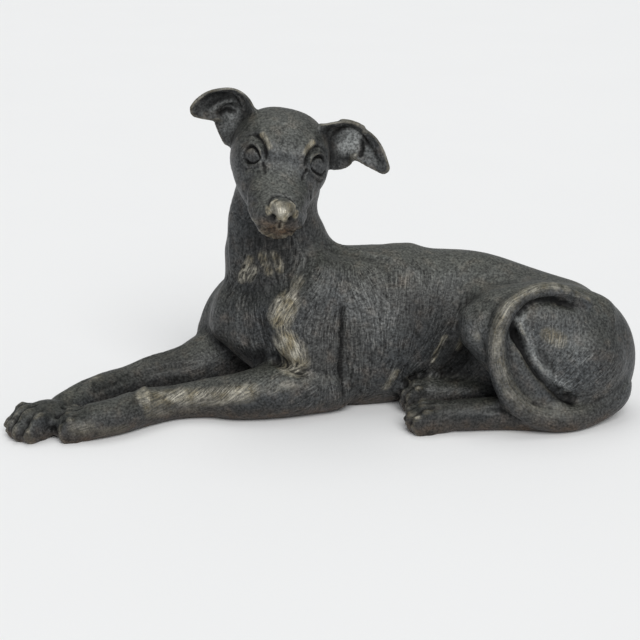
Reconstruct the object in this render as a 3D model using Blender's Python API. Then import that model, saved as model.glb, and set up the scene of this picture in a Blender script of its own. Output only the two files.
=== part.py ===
"""A lying hound, cast in one piece: forelegs stretched out, head turned to its left side,
hind legs folded to the same side and the tail curled over the near thigh.

Every place and size below is given in shares of the hound's own length: SHARES of them make
the length from the far forepaw to the rump. The head is at -X, the near (left) side at -Y.
"""

import math

import bmesh
import bpy
import numpy as np
from mathutils import Matrix, Vector
from mathutils.kdtree import KDTree

# Driving dimensions, in metres: far forepaw to rump, and the thickness of an ear.
HOUND_LENGTH = 0.82
EAR_WALL = 0.0086
SHARES = 812
SHARE = HOUND_LENGTH / SHARES

# How fine the modelled skin is and how wide its fillets are, in shares.
BODY_GRAIN = 4.5
SKIN_GRAIN = 2.6
EAR_GRAIN = 1.8
BODY_FILLET = 24
LIMB_FILLET = 6
RING_POINTS = 28
RINGS_PER_SPAN = 6
SOLID_TRIANGLES = 8600

# Trunk, rump to breast: x, y, z, half width, rise, drop.
TRUNK = (
    (382, -52, 80, 42, 44, 80),
    (350, -45, 82, 55, 64, 96),
    (312, -35, 95, 63, 75, 105),
    (262, -20, 116, 57, 67, 84),
    (205, -8, 131, 55, 69, 72),
    (150, -2, 114, 71, 97, 96),
    (90, 0, 103, 80, 103, 112),
    (30, 0, 101, 84, 102, 119),
    (-35, 0, 98, 77, 96, 108),
    (-85, 0, 100, 64, 82, 58),
    (-120, 2, 106, 46, 58, 32),
)
# Neck, breast to skull: x, y, z, half width, rise towards the nape, drop towards the throat.
NECK = (
    (-54, 6, 120, 62, 74, 66),
    (-52, 4, 165, 55, 74, 73),
    (-50, 0, 212, 49, 63, 75),
    (-56, -4, 250, 45, 52, 64),
    (-55, -1, 290, 46, 58, 52),
    (-50, 6, 335, 44, 52, 46),
)
# Legs, shoulder or hip to toes: x, y, z, radius.
NEAR_FOREARM = (
    (14, -60, 35, 36),
    (-52, -81, 34, 36),
    (-102, -89, 29, 31),
    (-142, -84, 25, 25.5),
    (-186, -90, 21, 22.3),
    (-224, -111, 22, 24.5),
    (-256, -141, 22, 23.5),
    (-284, -157, 21, 23),
)
FAR_FOREARM = (
    (-116, 46, 46, 44),
    (-150, 18, 40, 39),
    (-183, -2, 32, 33),
    (-225, -14, 28, 28),
    (-253, -33, 25, 24.5),
    (-281, -55, 23.5, 24.5),
    (-305, -79, 22, 23),
    (-330, -110, 19, 20),
)
NEAR_SHANK = (
    (214, -94, 126, 38),
    (240, -108, 92, 33),
    (275, -122, 52, 27),
    (300, -126, 26, 24),
)
NEAR_METATARSUS = ((300, -132, 22, 25), (240, -126, 20, 22), (175, -133, 20, 20))
FAR_SHANK = ((210, 48, 36, 36), (250, 20, 24, 28), (285, -26, 20, 20))
FAR_METATARSUS = ((285, -38, 22, 19), (215, -60, 24, 16), (160, -68, 25, 16))
# Feet: where the toes set out and end (x, y), half width, height at the knuckles and the tips.
FEET = (
    ((-276, -156), (-333, -157), 28, 40, 30),
    ((-326, -122), (-389, -173), 30, 43, 27),
    ((176, -131), (107, -136), 25, 41, 33),
    ((166, -68), (105, -66), 23, 48, 38),
)
TAIL = (
    (370, -54, 57, 30),
    (380, -85, 37, 26),
    (350, -113, 20, 20.5),
    (314, -137, 18, 18.5),
    (276, -146, 25, 16.5),
    (245, -149, 46, 15),
    (228, -146, 78, 13.5),
    (221, -140, 115, 12.8),
    (229, -130, 148, 12),
    (256, -116, 172, 11),
    (296, -105, 178, 9.5),
    (341, -96, 161, 5),
)
# Ears, root to tip: x, y, z, half width, depth of the cup.
LEFT_EAR = (
    (-2, -14, 341, 36, 5),
    (17, -18, 346, 42, 15),
    (34, -20, 354, 34, 19),
    (51, -23, 350, 25, 15),
    (68, -27, 334, 21, 10),
    (87, -34, 312, 8, 2),
)
RIGHT_EAR = (
    (-96, -12, 350, 31, 4),
    (-104, -12, 371, 32, 12),
    (-110, -14, 395, 31, 17),
    (-127, -19, 399, 26, 14),
    (-146, -25, 394, 21, 9),
    (-162, -30, 388, 9, 2),
)
# Head, in its own frame. Its origin lies between the eyes and forward runs down the muzzle.
HEAD_PLACE = (-46, -42, 332)
HEAD_YAW, HEAD_PITCH, HEAD_ROLL = 2.5, -14, 10
# Forward, left, up, half width, rise, drop.
HEAD = (
    (-66, 4, -12, 36, 36, 42),
    (-48, 1, -6, 54, 51, 54),
    (-22, -2, -6, 63, 56, 56),
    (4, -3, -16, 62, 56, 43),
    (28, -4, -27, 52, 43, 34),
    (56, -3, -26, 40, 27, 39),
    (84, -3, -31, 36, 24, 34),
    (101, -3, -33, 32, 21, 29),
)
# Nose pad and chin in the same frame: place, and the radii forward, left and up.
NOSE = ((109, 0, -19), (17, 19, 14))
CHIN = ((88, -3, -48), (26, 21, 16))
# Eyes, left and right: forward, left, up; then how large they are.
EYES = ((19, 37, 9), (22, -39, 9))
EYE_BALL = 12
# What frames an eye, and the mouth, for the left side. The right mirrors them.
UPPER_LID = ((36, 28, 12), (29, 31, 19), (22, 38, 22), (14, 45, 19), (11, 51, 11))
LOWER_LID = ((36, 28, 11), (36, 34, 6), (30, 42, 0), (23, 49, -4), (13, 52, -2))
BROW_CREASE = ((34, 24, 14), (26, 26, 21), (18, 32, 25), (8, 38, 27))
BROW_RIDGE = ((28, 18, 26), (18, 25, 32), (6, 33, 34))
MOUTH_LINE = (
    (120, 1, -36),
    (117, 13, -43),
    (110, 24, -45),
    (98, 33, -41),
    (76, 38, -39),
    (48, 42, -37),
)
NOSTRIL = (122, 12, -22)
PHILTRUM = ((126, -1, -24), (123, -1, -31), (120, -1, -38))
# Creases and ridges of the trunk and legs, as places on or near the skin.
SHOULDER_REAR = ((29, -74, 160), (29, -84, 104), (28, -81, 63), (27, -77, 21))
ELBOW_CREASE = ((-60, -74, 76), (-41, -83, 68), (-20, -92, 58))
SHOULDER_RIDGE = ((-55, -66, 152), (-50, -75, 128), (-38, -84, 98), (-28, -88, 72))
STERNUM_RIDGE = ((-107, -34, 155), (-106, -46, 132), (-105, -53, 106), (-107, -53, 80))
FLANK_EDGE = ((194, -68, 160), (177, -77, 129), (167, -71, 105), (149, -68, 70))
TAIL_CREASE = (
    (243, -118, 136),
    (246, -120, 122),
    (252, -124, 108),
    (261, -128, 92),
    (274, -132, 74),
    (289, -134, 58),
    (305, -134, 46),
    (324, -133, 40),
)
TAIL_UNDER = ((240, -122, 138), (250, -120, 156), (268, -114, 165), (292, -107, 165), (324, -99, 152))


def share(point):
    """A place given in shares, in metres."""
    return Vector(point[:3]) * SHARE


def smooth_stations(stations, spans=RINGS_PER_SPAN):
    """Every column of the stations, carried on a smooth curve through them."""
    rows = np.array(stations, float)
    padded = np.vstack([2 * rows[0] - rows[1], rows, 2 * rows[-1] - rows[-2]])
    out = []
    for i in range(len(rows) - 1):
        a, b, c, d = padded[i : i + 4]
        for k in range(spans):
            t = k / spans
            out.append(
                0.5
                * (
                    2 * b
                    + (c - a) * t
                    + (2 * a - 5 * b + 4 * c - d) * t**2
                    + (3 * b - a - 3 * c + d) * t**3
                )
            )
    out.append(rows[-1])
    return np.array(out)


def loft(stations, dorsal, round_ends=(1.0, 1.0), squareness=(2.0, 2.0)):
    """A closed skin through oval sections across a path.

    Each station is x, y, z, half width, rise, drop. Rise is measured towards the dorsal
    direction and drop away from it. The ends are rounded by a share of the end's half width.
    Squareness is that of the section's upper and lower half: 2 is an ellipse, less is leaner.
    """
    rows = smooth_stations(stations)
    path = rows[:, :3]
    tangents = np.gradient(path, axis=0)
    tangents /= np.linalg.norm(tangents, axis=1)[:, None]
    rings = []
    steps = 4
    for end, sign in ((0, -1), (-1, 1)):
        reach = round_ends[0 if end == 0 else 1] * rows[end, 3]
        cap = []
        for k in range(1, steps):
            angle = math.pi / 2 * k / steps
            centre = path[end] + sign * tangents[end] * reach * math.sin(angle)
            cap.append((centre, tangents[end], rows[end, 3:6] * math.cos(angle)))
        pole = path[end] + sign * tangents[end] * reach
        if end == 0:
            first_pole, first_cap = pole, cap[::-1]
        else:
            last_pole, last_cap = pole, cap
    body = [(path[i], tangents[i], rows[i, 3:6]) for i in range(len(rows))]
    for centre, tangent, (half, rise, drop) in first_cap + body + last_cap:
        up = np.array(dorsal, float) - np.dot(dorsal, tangent) * tangent
        up /= np.linalg.norm(up)
        side = np.cross(tangent, up)
        ring = []
        for k in range(RING_POINTS):
            angle = 2 * math.pi * k / RING_POINTS
            c, s = math.cos(angle), math.sin(angle)
            power = 2 / squareness[0 if s > 0 else 1]
            across = half * math.copysign(abs(c) ** power, c)
            height = (rise if s > 0 else drop) * math.copysign(abs(s) ** power, s)
            ring.append(centre + side * across + up * height)
        rings.append(ring)
    return skin(rings, first_pole, last_pole)


def skin(rings, first_pole, last_pole):
    """A mesh over rings of points, closed by a fan at each pole."""
    bm = bmesh.new()
    loops = [[bm.verts.new(Vector(p) * SHARE) for p in ring] for ring in rings]
    count = len(rings[0])
    for low, high in zip(loops, loops[1:]):
        for k in range(count):
            bm.faces.new((low[k], low[(k + 1) % count], high[(k + 1) % count], high[k]))
    for pole, loop in ((first_pole, loops[0]), (last_pole, loops[-1])):
        tip = bm.verts.new(Vector(pole) * SHARE)
        for k in range(count):
            bm.faces.new((tip, loop[k], loop[(k + 1) % count]))
    bmesh.ops.recalc_face_normals(bm, faces=bm.faces)
    return bm


def limb(stations, flat=1.0):
    """A loft of round sections: x, y, z, radius. Flat below 1 makes it lower than wide."""
    rows = [(x, y, z, r, r * flat, r * flat) for x, y, z, r in stations]
    return loft(rows, (0, 0, 1))


def egg(place):
    """A unit ball carried by a matrix that is given in shares."""
    bm = bmesh.new()
    bmesh.ops.create_uvsphere(bm, u_segments=24, v_segments=16, radius=1)
    shares = Matrix.Diagonal((SHARE, SHARE, SHARE, 1))
    bmesh.ops.transform(bm, matrix=shares @ place, verts=bm.verts)
    return bm


def mass(centre, radii, turn=(0, 0, 0)):
    """An egg-shaped mass: centre and radii in shares, turned in degrees about X, Y and Z."""
    place = Matrix.Translation(Vector(centre))
    for axis, angle in zip("ZYX", turn[::-1]):
        place = place @ Matrix.Rotation(math.radians(angle), 4, axis)
    return egg(place @ Matrix.Diagonal((*radii, 1)))


def head_frame():
    """The turn and place that carry the head's own frame into the hound's."""
    yaw, pitch, roll = (math.radians(a) for a in (HEAD_YAW, HEAD_PITCH, HEAD_ROLL))
    forward = Vector(
        (
            math.sin(yaw) * math.cos(pitch),
            -math.cos(yaw) * math.cos(pitch),
            math.sin(pitch),
        )
    )
    level = Vector((math.cos(yaw), math.sin(yaw), 0))
    crown = forward.cross(level)
    left = level * math.cos(roll) - crown * math.sin(roll)
    up = crown * math.cos(roll) + level * math.sin(roll)
    turn = Matrix((forward, left, up)).transposed()
    return Matrix.Translation(Vector(HEAD_PLACE)) @ turn.to_4x4()


def head_point(forward, left, up):
    """A place in the head's frame, in the hound's shares."""
    return tuple(head_frame() @ Vector((forward, left, up)))


def head_direction(forward, left, up):
    """A direction in the head's frame, in the hound's."""
    return tuple(head_frame().to_3x3() @ Vector((forward, left, up)))


def head_mass(centre, radii):
    """An egg-shaped mass placed and turned in the head's frame."""
    return egg(head_frame() @ Matrix.Translation(Vector(centre)) @ Matrix.Diagonal((*radii, 1)))


def skull():
    rows = [(*head_point(*row[:3]), *row[3:]) for row in HEAD]
    return loft(rows, head_direction(0, 0, 1), round_ends=(0.8, 0.55), squareness=(2.5, 1.85))


def paw(wrist, tip, half, height, low, toes=4):
    """Toes fanned between a wrist and a tip, in shares; they slope from height to low."""
    start, end = Vector((*wrist, height * 0.42)), Vector((*tip, height * 0.42))
    along = end - start
    length = along.length
    along.normalize()
    across = Vector((-along.y, along.x, 0))
    heading = math.degrees(math.atan2(along.y, along.x))
    pad = start + along * length * 0.36
    parts = [mass(pad, (length * 0.48, half * 0.92, height * 0.54), (0, 0, heading))]
    for k in range(toes):
        spread = 2 * k / (toes - 1) - 1
        reach = length * (0.66 - 0.10 * spread**2)
        knuckle = start + along * reach + across * half * 0.68 * spread
        size = (length * 0.22, half * 0.29, height * 0.50)
        turn = (0, 10, heading + spread * 8)
        parts.append(mass(knuckle, size, turn))
        end_joint = knuckle + along * length * 0.17 + across * half * 0.06 * spread
        end_joint.z = low * 0.42
        parts.append(mass(end_joint, (length * 0.16, half * 0.27, low * 0.52), turn))
    return parts


def ear(stations, face):
    """A cupped leaf: its hollow side looks along face, its rims curl towards it."""
    rows = smooth_stations(stations)
    path = rows[:, :3]
    tangents = np.gradient(path, axis=0)
    tangents /= np.linalg.norm(tangents, axis=1)[:, None]
    rings = []
    half_ring = RING_POINTS // 2
    for centre, tangent, (half, cup) in zip(path, tangents, rows[:, 3:5]):
        out = np.array(face, float) - np.dot(face, tangent) * tangent
        out /= np.linalg.norm(out)
        side = np.cross(tangent, out)
        thick = EAR_WALL / SHARE * min(1, 0.6 + half / 40)
        ring = []
        for k in range(RING_POINTS):
            front = k < half_ring
            step = k if front else RING_POINTS - 1 - k
            t = 2 * step / (half_ring - 1) - 1
            rim = 0.55 + 0.45 * math.sqrt(max(0, 1 - t**2))
            offset = cup * (t**2 - 0.4) + thick / 2 * rim * (1 if front else -1)
            ring.append(centre + side * half * t * (1 - 0.10 * t**2) + out * offset)
        rings.append(ring)
    first = path[0] - tangents[0] * 3
    last = path[-1] + tangents[-1] * 3
    return skin(rings, first, last)


def soft_masses():
    """The masses that flow into each other."""
    return [
        loft(TRUNK, (0, 0, 1), round_ends=(0.7, 0.6), squareness=(2.2, 2.2)),
        loft(NECK, (1, 0, 0)),
        skull(),
        # near shoulder blade and upper arm
        loft(
            (
                (8, -42, 178, 26, 34, 34),
                (-8, -58, 140, 28, 44, 42),
                (-12, -64, 95, 28, 44, 40),
                (0, -62, 55, 28, 38, 38),
                (8, -56, 28, 26, 30, 34),
            ),
            (1, 0, 0),
        ),
        # far shoulder blade and upper arm, swung forward
        loft(
            (
                (-43, 36, 186, 26, 34, 34),
                (-75, 42, 147, 30, 40, 38),
                (-114, 42, 106, 30, 38, 40),
                (-132, 42, 65, 28, 34, 39),
            ),
            (1, 0, 0),
        ),
        # near haunch, thigh and ham
        loft(
            (
                (352, -62, 96, 48, 62, 78),
                (310, -68, 108, 53, 66, 72),
                (266, -78, 125, 50, 56, 52),
                (226, -90, 134, 40, 42, 42),
            ),
            (0, 0, 1),
            round_ends=(0.7, 0.9),
        ),
        mass((334, -84, 70), (66, 52, 70), (0, 20, 12)),
        # rump
        mass((337, -52, 68), (79, 62, 91)),
        # far haunch and thigh, lying on the ground
        mass((300, 28, 58), (92, 52, 62), (0, 8, -10)),
        mass((240, -22, 44), (70, 50, 44), (0, 0, -10)),
    ]


def limbs():
    """Legs, tail, feet, chin and nose."""
    paths = (NEAR_FOREARM, FAR_FOREARM, NEAR_SHANK, NEAR_METATARSUS)
    parts = [limb(path) for path in (*paths, FAR_SHANK, FAR_METATARSUS, TAIL)]
    for foot in FEET:
        parts += paw(*foot)
    parts.append(head_mass(*CHIN))
    parts.append(head_mass(*NOSE))
    return parts


def ears():
    """Both ears, their hollows to the front and a little downward."""
    return [ear(LEFT_EAR, (0.1, -0.9, -0.3)), ear(RIGHT_EAR, (-0.1, -0.9, -0.3))]


def new_object(name, parts):
    """One object that holds all the parts' skins, overlapping."""
    joined = bpy.data.meshes.new(name)
    bm = bmesh.new()
    for part in parts:
        piece = bpy.data.meshes.new("piece")
        part.to_mesh(piece)
        part.free()
        bm.from_mesh(piece)
        bpy.data.meshes.remove(piece)
    bm.to_mesh(joined)
    bm.free()
    obj = bpy.data.objects.new(name, joined)
    bpy.context.scene.collection.objects.link(obj)
    return obj


def applied(obj):
    """The object's mesh with its modifiers worked in, as a bmesh; the object goes."""
    graph = bpy.context.evaluated_depsgraph_get()
    mesh = bpy.data.meshes.new_from_object(obj.evaluated_get(graph))
    bpy.data.objects.remove(obj)
    bm = bmesh.new()
    bm.from_mesh(mesh)
    bpy.data.meshes.remove(mesh)
    return bm


def fused(name, parts, grain, fillet, rounds):
    """The parts as one skin, with a fillet in every hollow, then smoothed."""
    obj = new_object(name, parts)
    for offset in (fillet, -fillet):
        if fillet:
            remesh = obj.modifiers.new("fuse", "REMESH")
            remesh.mode = "VOXEL"
            remesh.voxel_size = grain * SHARE
            swell = obj.modifiers.new("swell", "DISPLACE")
            swell.mid_level = 0
            swell.strength = offset * SHARE
    remesh = obj.modifiers.new("even", "REMESH")
    remesh.mode = "VOXEL"
    remesh.voxel_size = grain * SHARE
    smooth = obj.modifiers.new("smooth", "SMOOTH")
    smooth.factor = 0.5
    smooth.iterations = rounds
    return applied(obj)


class Skin:
    """The hound's skin while it is being tooled. Places are in shares."""

    def __init__(self, bm):
        self.bm = bm
        bm.verts.ensure_lookup_table()
        self.refresh()

    def refresh(self):
        """Looks up where the skin is now, before the next round of tooling."""
        self.bm.normal_update()
        self.tree = KDTree(len(self.bm.verts))
        for vert in self.bm.verts:
            self.tree.insert(vert.co / SHARE, vert.index)
        self.tree.balance()
        self.lift = np.zeros(len(self.bm.verts))

    def stroke(self, path, width, lift):
        """A groove, or a ridge where lift is above 0, along a path laid onto the skin.

        It fades out over the first and last fifth of the path.
        """
        rows = smooth_stations(path, 10)
        best = {}
        for step, place in enumerate(rows):
            along = step / (len(rows) - 1)
            fade = math.sin(math.pi / 2 * min(1, 5 * along + 0.1, 5 * (1 - along) + 0.1))
            on_skin = self.tree.find(Vector(place[:3]))[0]
            for _, index, gap in self.tree.find_range(on_skin, width):
                pull = fade * (1 - (gap / width) ** 2) ** 2
                best[index] = max(pull, best.get(index, 0))
        for index, pull in best.items():
            self.lift[index] += lift * pull

    def dab(self, place, width, lift):
        """A swelling, or a hollow where lift is below 0, round one place."""
        on_skin = self.tree.find(Vector(place))[0]
        for _, index, gap in self.tree.find_range(on_skin, width):
            self.lift[index] += lift * (1 - (gap / width) ** 2) ** 2

    def work(self):
        """Moves the skin by what the strokes and dabs add up to."""
        for vert, lift in zip(self.bm.verts, self.lift * SHARE):
            if lift:
                vert.co += vert.normal * float(lift)
        self.refresh()


def on_head(path, side):
    """A path in the head's frame, for its left (1) or right (-1) side, in shares."""
    return [head_point(f, side * l, u) for f, l, u in path]


def eyeballs():
    """Two balls that stand out of their sockets."""
    return [head_mass(place, (EYE_BALL, EYE_BALL, EYE_BALL)) for place in EYES]


def tool_sockets(skin):
    """A shallow hollow for each eyeball."""
    for place in EYES:
        skin.dab(head_point(*place), 22, -5)
    skin.work()


def tool_face(skin):
    """Lids, brows, nostrils and mouth."""
    for side in (1, -1):
        skin.stroke(on_head(UPPER_LID, side), 4, 2.4)
        skin.stroke(on_head(LOWER_LID, side), 4, 1.8)
        skin.stroke(on_head(BROW_CREASE, side), 5, -2.5)
        skin.stroke(on_head(BROW_RIDGE, side), 10, 2)
        skin.stroke(on_head(MOUTH_LINE, side), 5, -3)
        skin.dab(on_head((NOSTRIL,), side)[0], 7, -6)
    skin.stroke(on_head(PHILTRUM, 1), 4, -2)
    skin.work()


def tool_toes(skin):
    """The clefts between the toes of each foot."""
    for wrist, tip, half, height, low in FEET:
        start, end = Vector((*wrist, 0)), Vector((*tip, 0))
        along = end - start
        across = Vector((-along.y, along.x, 0)).normalized()
        for k in (-0.62, 0, 0.62):
            path = []
            for reach, level in ((0.42, 1.0), (0.66, 1.0), (0.86, 0.75), (1.02, 0.3)):
                place = start + along * reach + across * half * k * (0.8 + 0.3 * reach)
                place.z = level * (height if reach < 0.8 else low)
                path.append(tuple(place))
            skin.stroke(path, 5.5, -3.8)
    skin.work()


def tool_body(skin):
    """Creases behind the shoulder and at the elbow, breastbone, flank and tail."""
    skin.stroke(SHOULDER_REAR, 12, -3.5)
    skin.stroke(ELBOW_CREASE, 12, -6)
    skin.stroke(SHOULDER_RIDGE, 26, 4)
    skin.stroke(STERNUM_RIDGE, 16, 4)
    skin.stroke(FLANK_EDGE, 20, -4)
    skin.stroke(TAIL_CREASE, 9, -12)
    skin.stroke(TAIL_UNDER, 7, -6)
    skin.work()


def bronze():
    """Dark patinated bronze."""
    material = bpy.data.materials.new("dark_bronze")
    material.use_nodes = True
    surface = material.node_tree.nodes["Principled BSDF"]
    surface.inputs["Base Color"].default_value = (0.045, 0.043, 0.038, 1)
    surface.inputs["Metallic"].default_value = 0.6
    surface.inputs["Roughness"].default_value = 0.45
    return material


def flat_foot(bm):
    """Cuts the skin flat at the ground and closes it there."""
    geometry = bm.verts[:] + bm.edges[:] + bm.faces[:]
    cut = bmesh.ops.bisect_plane(
        bm, geom=geometry, dist=1e-5, plane_co=(0, 0, 0), plane_no=(0, 0, 1), clear_inner=True
    )
    rim = [item for item in cut["geom_cut"] if isinstance(item, bmesh.types.BMEdge)]
    bmesh.ops.holes_fill(bm, edges=rim, sides=0)
    bmesh.ops.triangulate(bm, faces=bm.faces)
    drop_crumbs(bm)
    bmesh.ops.recalc_face_normals(bm, faces=bm.faces)


def drop_crumbs(bm):
    """Takes away the slivers that the cut leaves beside the hound, or hanging on one point."""
    waiting = set(bm.faces)
    pieces = []
    while waiting:
        piece = {waiting.pop()}
        front = list(piece)
        while front:
            edges = {edge for face in front for edge in face.edges if len(edge.link_faces) == 2}
            beside = {face for edge in edges for face in edge.link_faces} & waiting
            waiting -= beside
            piece |= beside
            front = list(beside)
        pieces.append(piece)
    pieces.sort(key=len)
    for piece in pieces[:-1]:
        bmesh.ops.delete(bm, geom=list(piece), context="FACES")


def centre_footprint(bm):
    """Puts the origin under the middle of the hound, on the ground."""
    places = np.array([vert.co for vert in bm.verts])
    low, high = places.min(axis=0), places.max(axis=0)
    middle = Vector((-(low[0] + high[0]) / 2, -(low[1] + high[1]) / 2, 0))
    bmesh.ops.translate(bm, vec=middle, verts=bm.verts)


def main():
    for obj in list(bpy.data.objects):
        bpy.data.objects.remove(obj)
    body = fused("body", soft_masses(), BODY_GRAIN, BODY_FILLET, 8)
    leaves = fused("ears", ears(), EAR_GRAIN, 0, 10)
    hound = fused("hound", [body, skull(), leaves, *limbs()], SKIN_GRAIN, LIMB_FILLET, 3)
    skin = Skin(hound)
    tool_body(skin)
    tool_toes(skin)
    tool_sockets(skin)
    hound = fused("hound", [hound, *eyeballs()], SKIN_GRAIN, 0, 1)
    tool_face(Skin(hound))
    obj = new_object("greyhound", [hound])
    thin = obj.modifiers.new("thin", "DECIMATE")
    thin.ratio = SOLID_TRIANGLES / (2 * len(obj.data.polygons))
    solid = applied(obj)
    flat_foot(solid)
    centre_footprint(solid)
    obj = new_object("greyhound", [solid])
    obj.data.materials.append(bronze())
    return obj


main()
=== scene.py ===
"""A lying greyhound cast in dark, rubbed bronze, on a pale studio floor.

Laid out as an add-on and run as a script. Places in the tables are shares of the hound's own
length: SHARES of them make the length from the far forepaw to the rump. The head is at -X,
the near (left) side at -Y, and up is +Z.
"""

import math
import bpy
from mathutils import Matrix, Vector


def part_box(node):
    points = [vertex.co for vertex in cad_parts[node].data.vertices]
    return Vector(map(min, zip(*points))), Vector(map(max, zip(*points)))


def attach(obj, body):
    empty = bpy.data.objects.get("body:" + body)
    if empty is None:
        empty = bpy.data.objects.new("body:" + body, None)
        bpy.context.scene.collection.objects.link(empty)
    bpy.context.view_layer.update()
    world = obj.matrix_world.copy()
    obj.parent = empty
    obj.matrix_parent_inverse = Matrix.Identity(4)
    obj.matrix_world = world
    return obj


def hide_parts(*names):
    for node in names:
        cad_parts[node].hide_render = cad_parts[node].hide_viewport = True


bl_info = {
    "name": "Lying greyhound in bronze",
    "version": (1, 0, 0),
    "blender": (4, 5, 0),
    "location": "3D view > Sidebar > Greyhound",
    "description": "Models a lying greyhound in dark bronze, its fur and its studio",
    "category": "Object",
}

import bmesh
import bpy
import numpy as np
from bpy.props import FloatProperty, FloatVectorProperty, IntProperty, PointerProperty
from mathutils import Matrix, Vector
from mathutils.kdtree import KDTree

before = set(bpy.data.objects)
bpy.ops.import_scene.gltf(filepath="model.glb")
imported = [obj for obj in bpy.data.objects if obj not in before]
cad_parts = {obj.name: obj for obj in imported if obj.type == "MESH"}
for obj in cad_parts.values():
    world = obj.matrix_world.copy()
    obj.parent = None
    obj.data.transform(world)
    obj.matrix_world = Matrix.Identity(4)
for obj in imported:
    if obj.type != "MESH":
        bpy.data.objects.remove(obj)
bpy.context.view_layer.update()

# The length that the tables are shares of, in metres, and how many shares make it.
HOUND_LENGTH = 0.82
SHARES = 812
SHARE = HOUND_LENGTH / SHARES

# How fine the ears are and how wide the fillets are, in shares.
EAR_GRAIN = 1.3
BODY_FILLET = 24
LIMB_FILLET = 6
# How many points make a section, and how many sections lie between two stations.
RING_POINTS = 40
RINGS_PER_SPAN = 8
# Where the face is modelled finer: its middle in the head's frame, and how far it reaches.
FACE_MIDDLE, FACE_REACH = (38, 0, -8), 78
# How much painted shade darkens the bronze towards the ground.
LOW_SHADE = 0.32
# Camera: what it looks at and from how far, in shares, its tilt and its lens in millimetres.
CAMERA_TARGET = (-6.29, 47.31, 104)
CAMERA_DISTANCE = 2000
CAMERA_TILT = math.radians(18)
CAMERA_LENS = 84.375

# Trunk, rump to breast: x, y, z, half width, rise, drop.
TRUNK = (
    (382, -52, 80, 42, 44, 80),
    (350, -45, 82, 55, 64, 96),
    (312, -35, 95, 63, 75, 105),
    (262, -20, 116, 57, 67, 84),
    (205, -8, 131, 55, 69, 72),
    (150, -2, 114, 71, 97, 96),
    (90, 0, 103, 80, 103, 112),
    (30, 0, 101, 84, 102, 119),
    (-35, 0, 98, 77, 96, 108),
    (-85, 0, 100, 64, 82, 58),
    (-120, 2, 106, 46, 58, 32),
)
# Neck, breast to skull: x, y, z, half width, rise towards the nape, drop towards the throat.
NECK = (
    (-54, 6, 120, 62, 74, 66),
    (-52, 4, 165, 55, 74, 73),
    (-50, 0, 212, 49, 63, 75),
    (-56, -4, 250, 45, 52, 64),
    (-55, -1, 290, 46, 58, 52),
    (-50, 6, 335, 44, 52, 46),
)
# Legs, shoulder or hip to toes: x, y, z, radius.
NEAR_FOREARM = (
    (14, -60, 35, 36),
    (-52, -81, 34, 36),
    (-102, -89, 29, 31),
    (-142, -84, 25, 25.5),
    (-186, -90, 21, 22.3),
    (-224, -111, 22, 24.5),
    (-256, -141, 22, 23.5),
    (-284, -157, 21, 23),
)
FAR_FOREARM = (
    (-116, 46, 46, 44),
    (-150, 18, 40, 39),
    (-183, -2, 32, 33),
    (-225, -14, 28, 28),
    (-253, -33, 25, 24.5),
    (-281, -55, 23.5, 24.5),
    (-305, -79, 22, 23),
    (-330, -110, 19, 20),
)
NEAR_SHANK = (
    (214, -94, 126, 38),
    (240, -108, 92, 33),
    (275, -122, 52, 27),
    (300, -126, 26, 24),
)
NEAR_METATARSUS = ((300, -132, 22, 25), (240, -126, 20, 22), (175, -133, 20, 20))
FAR_SHANK = ((210, 48, 36, 36), (250, 20, 24, 28), (285, -26, 20, 20))
FAR_METATARSUS = ((285, -38, 22, 19), (215, -60, 24, 16), (160, -68, 25, 16))
# Feet: where the toes set out and end (x, y), half width, height at the knuckles and the tips.
FEET = (
    ((-276, -156), (-333, -157), 28, 40, 30),
    ((-326, -122), (-389, -173), 30, 43, 27),
    ((176, -131), (107, -136), 25, 41, 33),
    ((166, -68), (105, -66), 23, 48, 38),
)
TOES = 4
TAIL = (
    (370, -54, 57, 30),
    (380, -85, 37, 26),
    (350, -113, 20, 20.5),
    (314, -137, 18, 18.5),
    (276, -146, 25, 16.5),
    (245, -149, 46, 15),
    (228, -146, 78, 13.5),
    (221, -140, 115, 12.8),
    (229, -130, 148, 12),
    (256, -116, 172, 11),
    (296, -105, 178, 9.5),
    (341, -96, 161, 5),
)
# Ears, root to tip: x, y, z, half width, depth of the cup.
LEFT_EAR = (
    (-2, -14, 341, 36, 5),
    (17, -18, 346, 42, 15),
    (34, -20, 354, 34, 19),
    (51, -23, 350, 25, 15),
    (68, -27, 334, 21, 10),
    (87, -34, 312, 8, 2),
)
RIGHT_EAR = (
    (-96, -12, 350, 31, 4),
    (-104, -12, 371, 32, 12),
    (-110, -14, 395, 31, 17),
    (-127, -19, 399, 26, 14),
    (-146, -25, 394, 21, 9),
    (-162, -30, 388, 9, 2),
)
# Head, in its own frame. Its origin lies between the eyes and forward runs down the muzzle.
HEAD_PLACE = (-46, -42, 332)
HEAD_YAW, HEAD_PITCH, HEAD_ROLL = 2.5, -14, 10
# Forward, left, up, half width, rise, drop.
HEAD = (
    (-66, 4, -12, 36, 36, 42),
    (-48, 1, -6, 54, 51, 54),
    (-22, -2, -6, 63, 56, 56),
    (4, -3, -16, 62, 56, 43),
    (28, -4, -27, 52, 43, 34),
    (56, -3, -26, 40, 27, 39),
    (84, -3, -31, 36, 24, 34),
    (101, -3, -33, 32, 21, 29),
)
# Nose pad and chin in the same frame: place, and the radii forward, left and up.
NOSE = ((109, 0, -19), (17, 19, 14))
CHIN = ((88, -3, -48), (26, 21, 16))
# Eyes, left and right: forward, left, up; then how large they are.
EYES = ((19, 37, 9), (22, -39, 9))
EYE_BALL = 12
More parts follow.
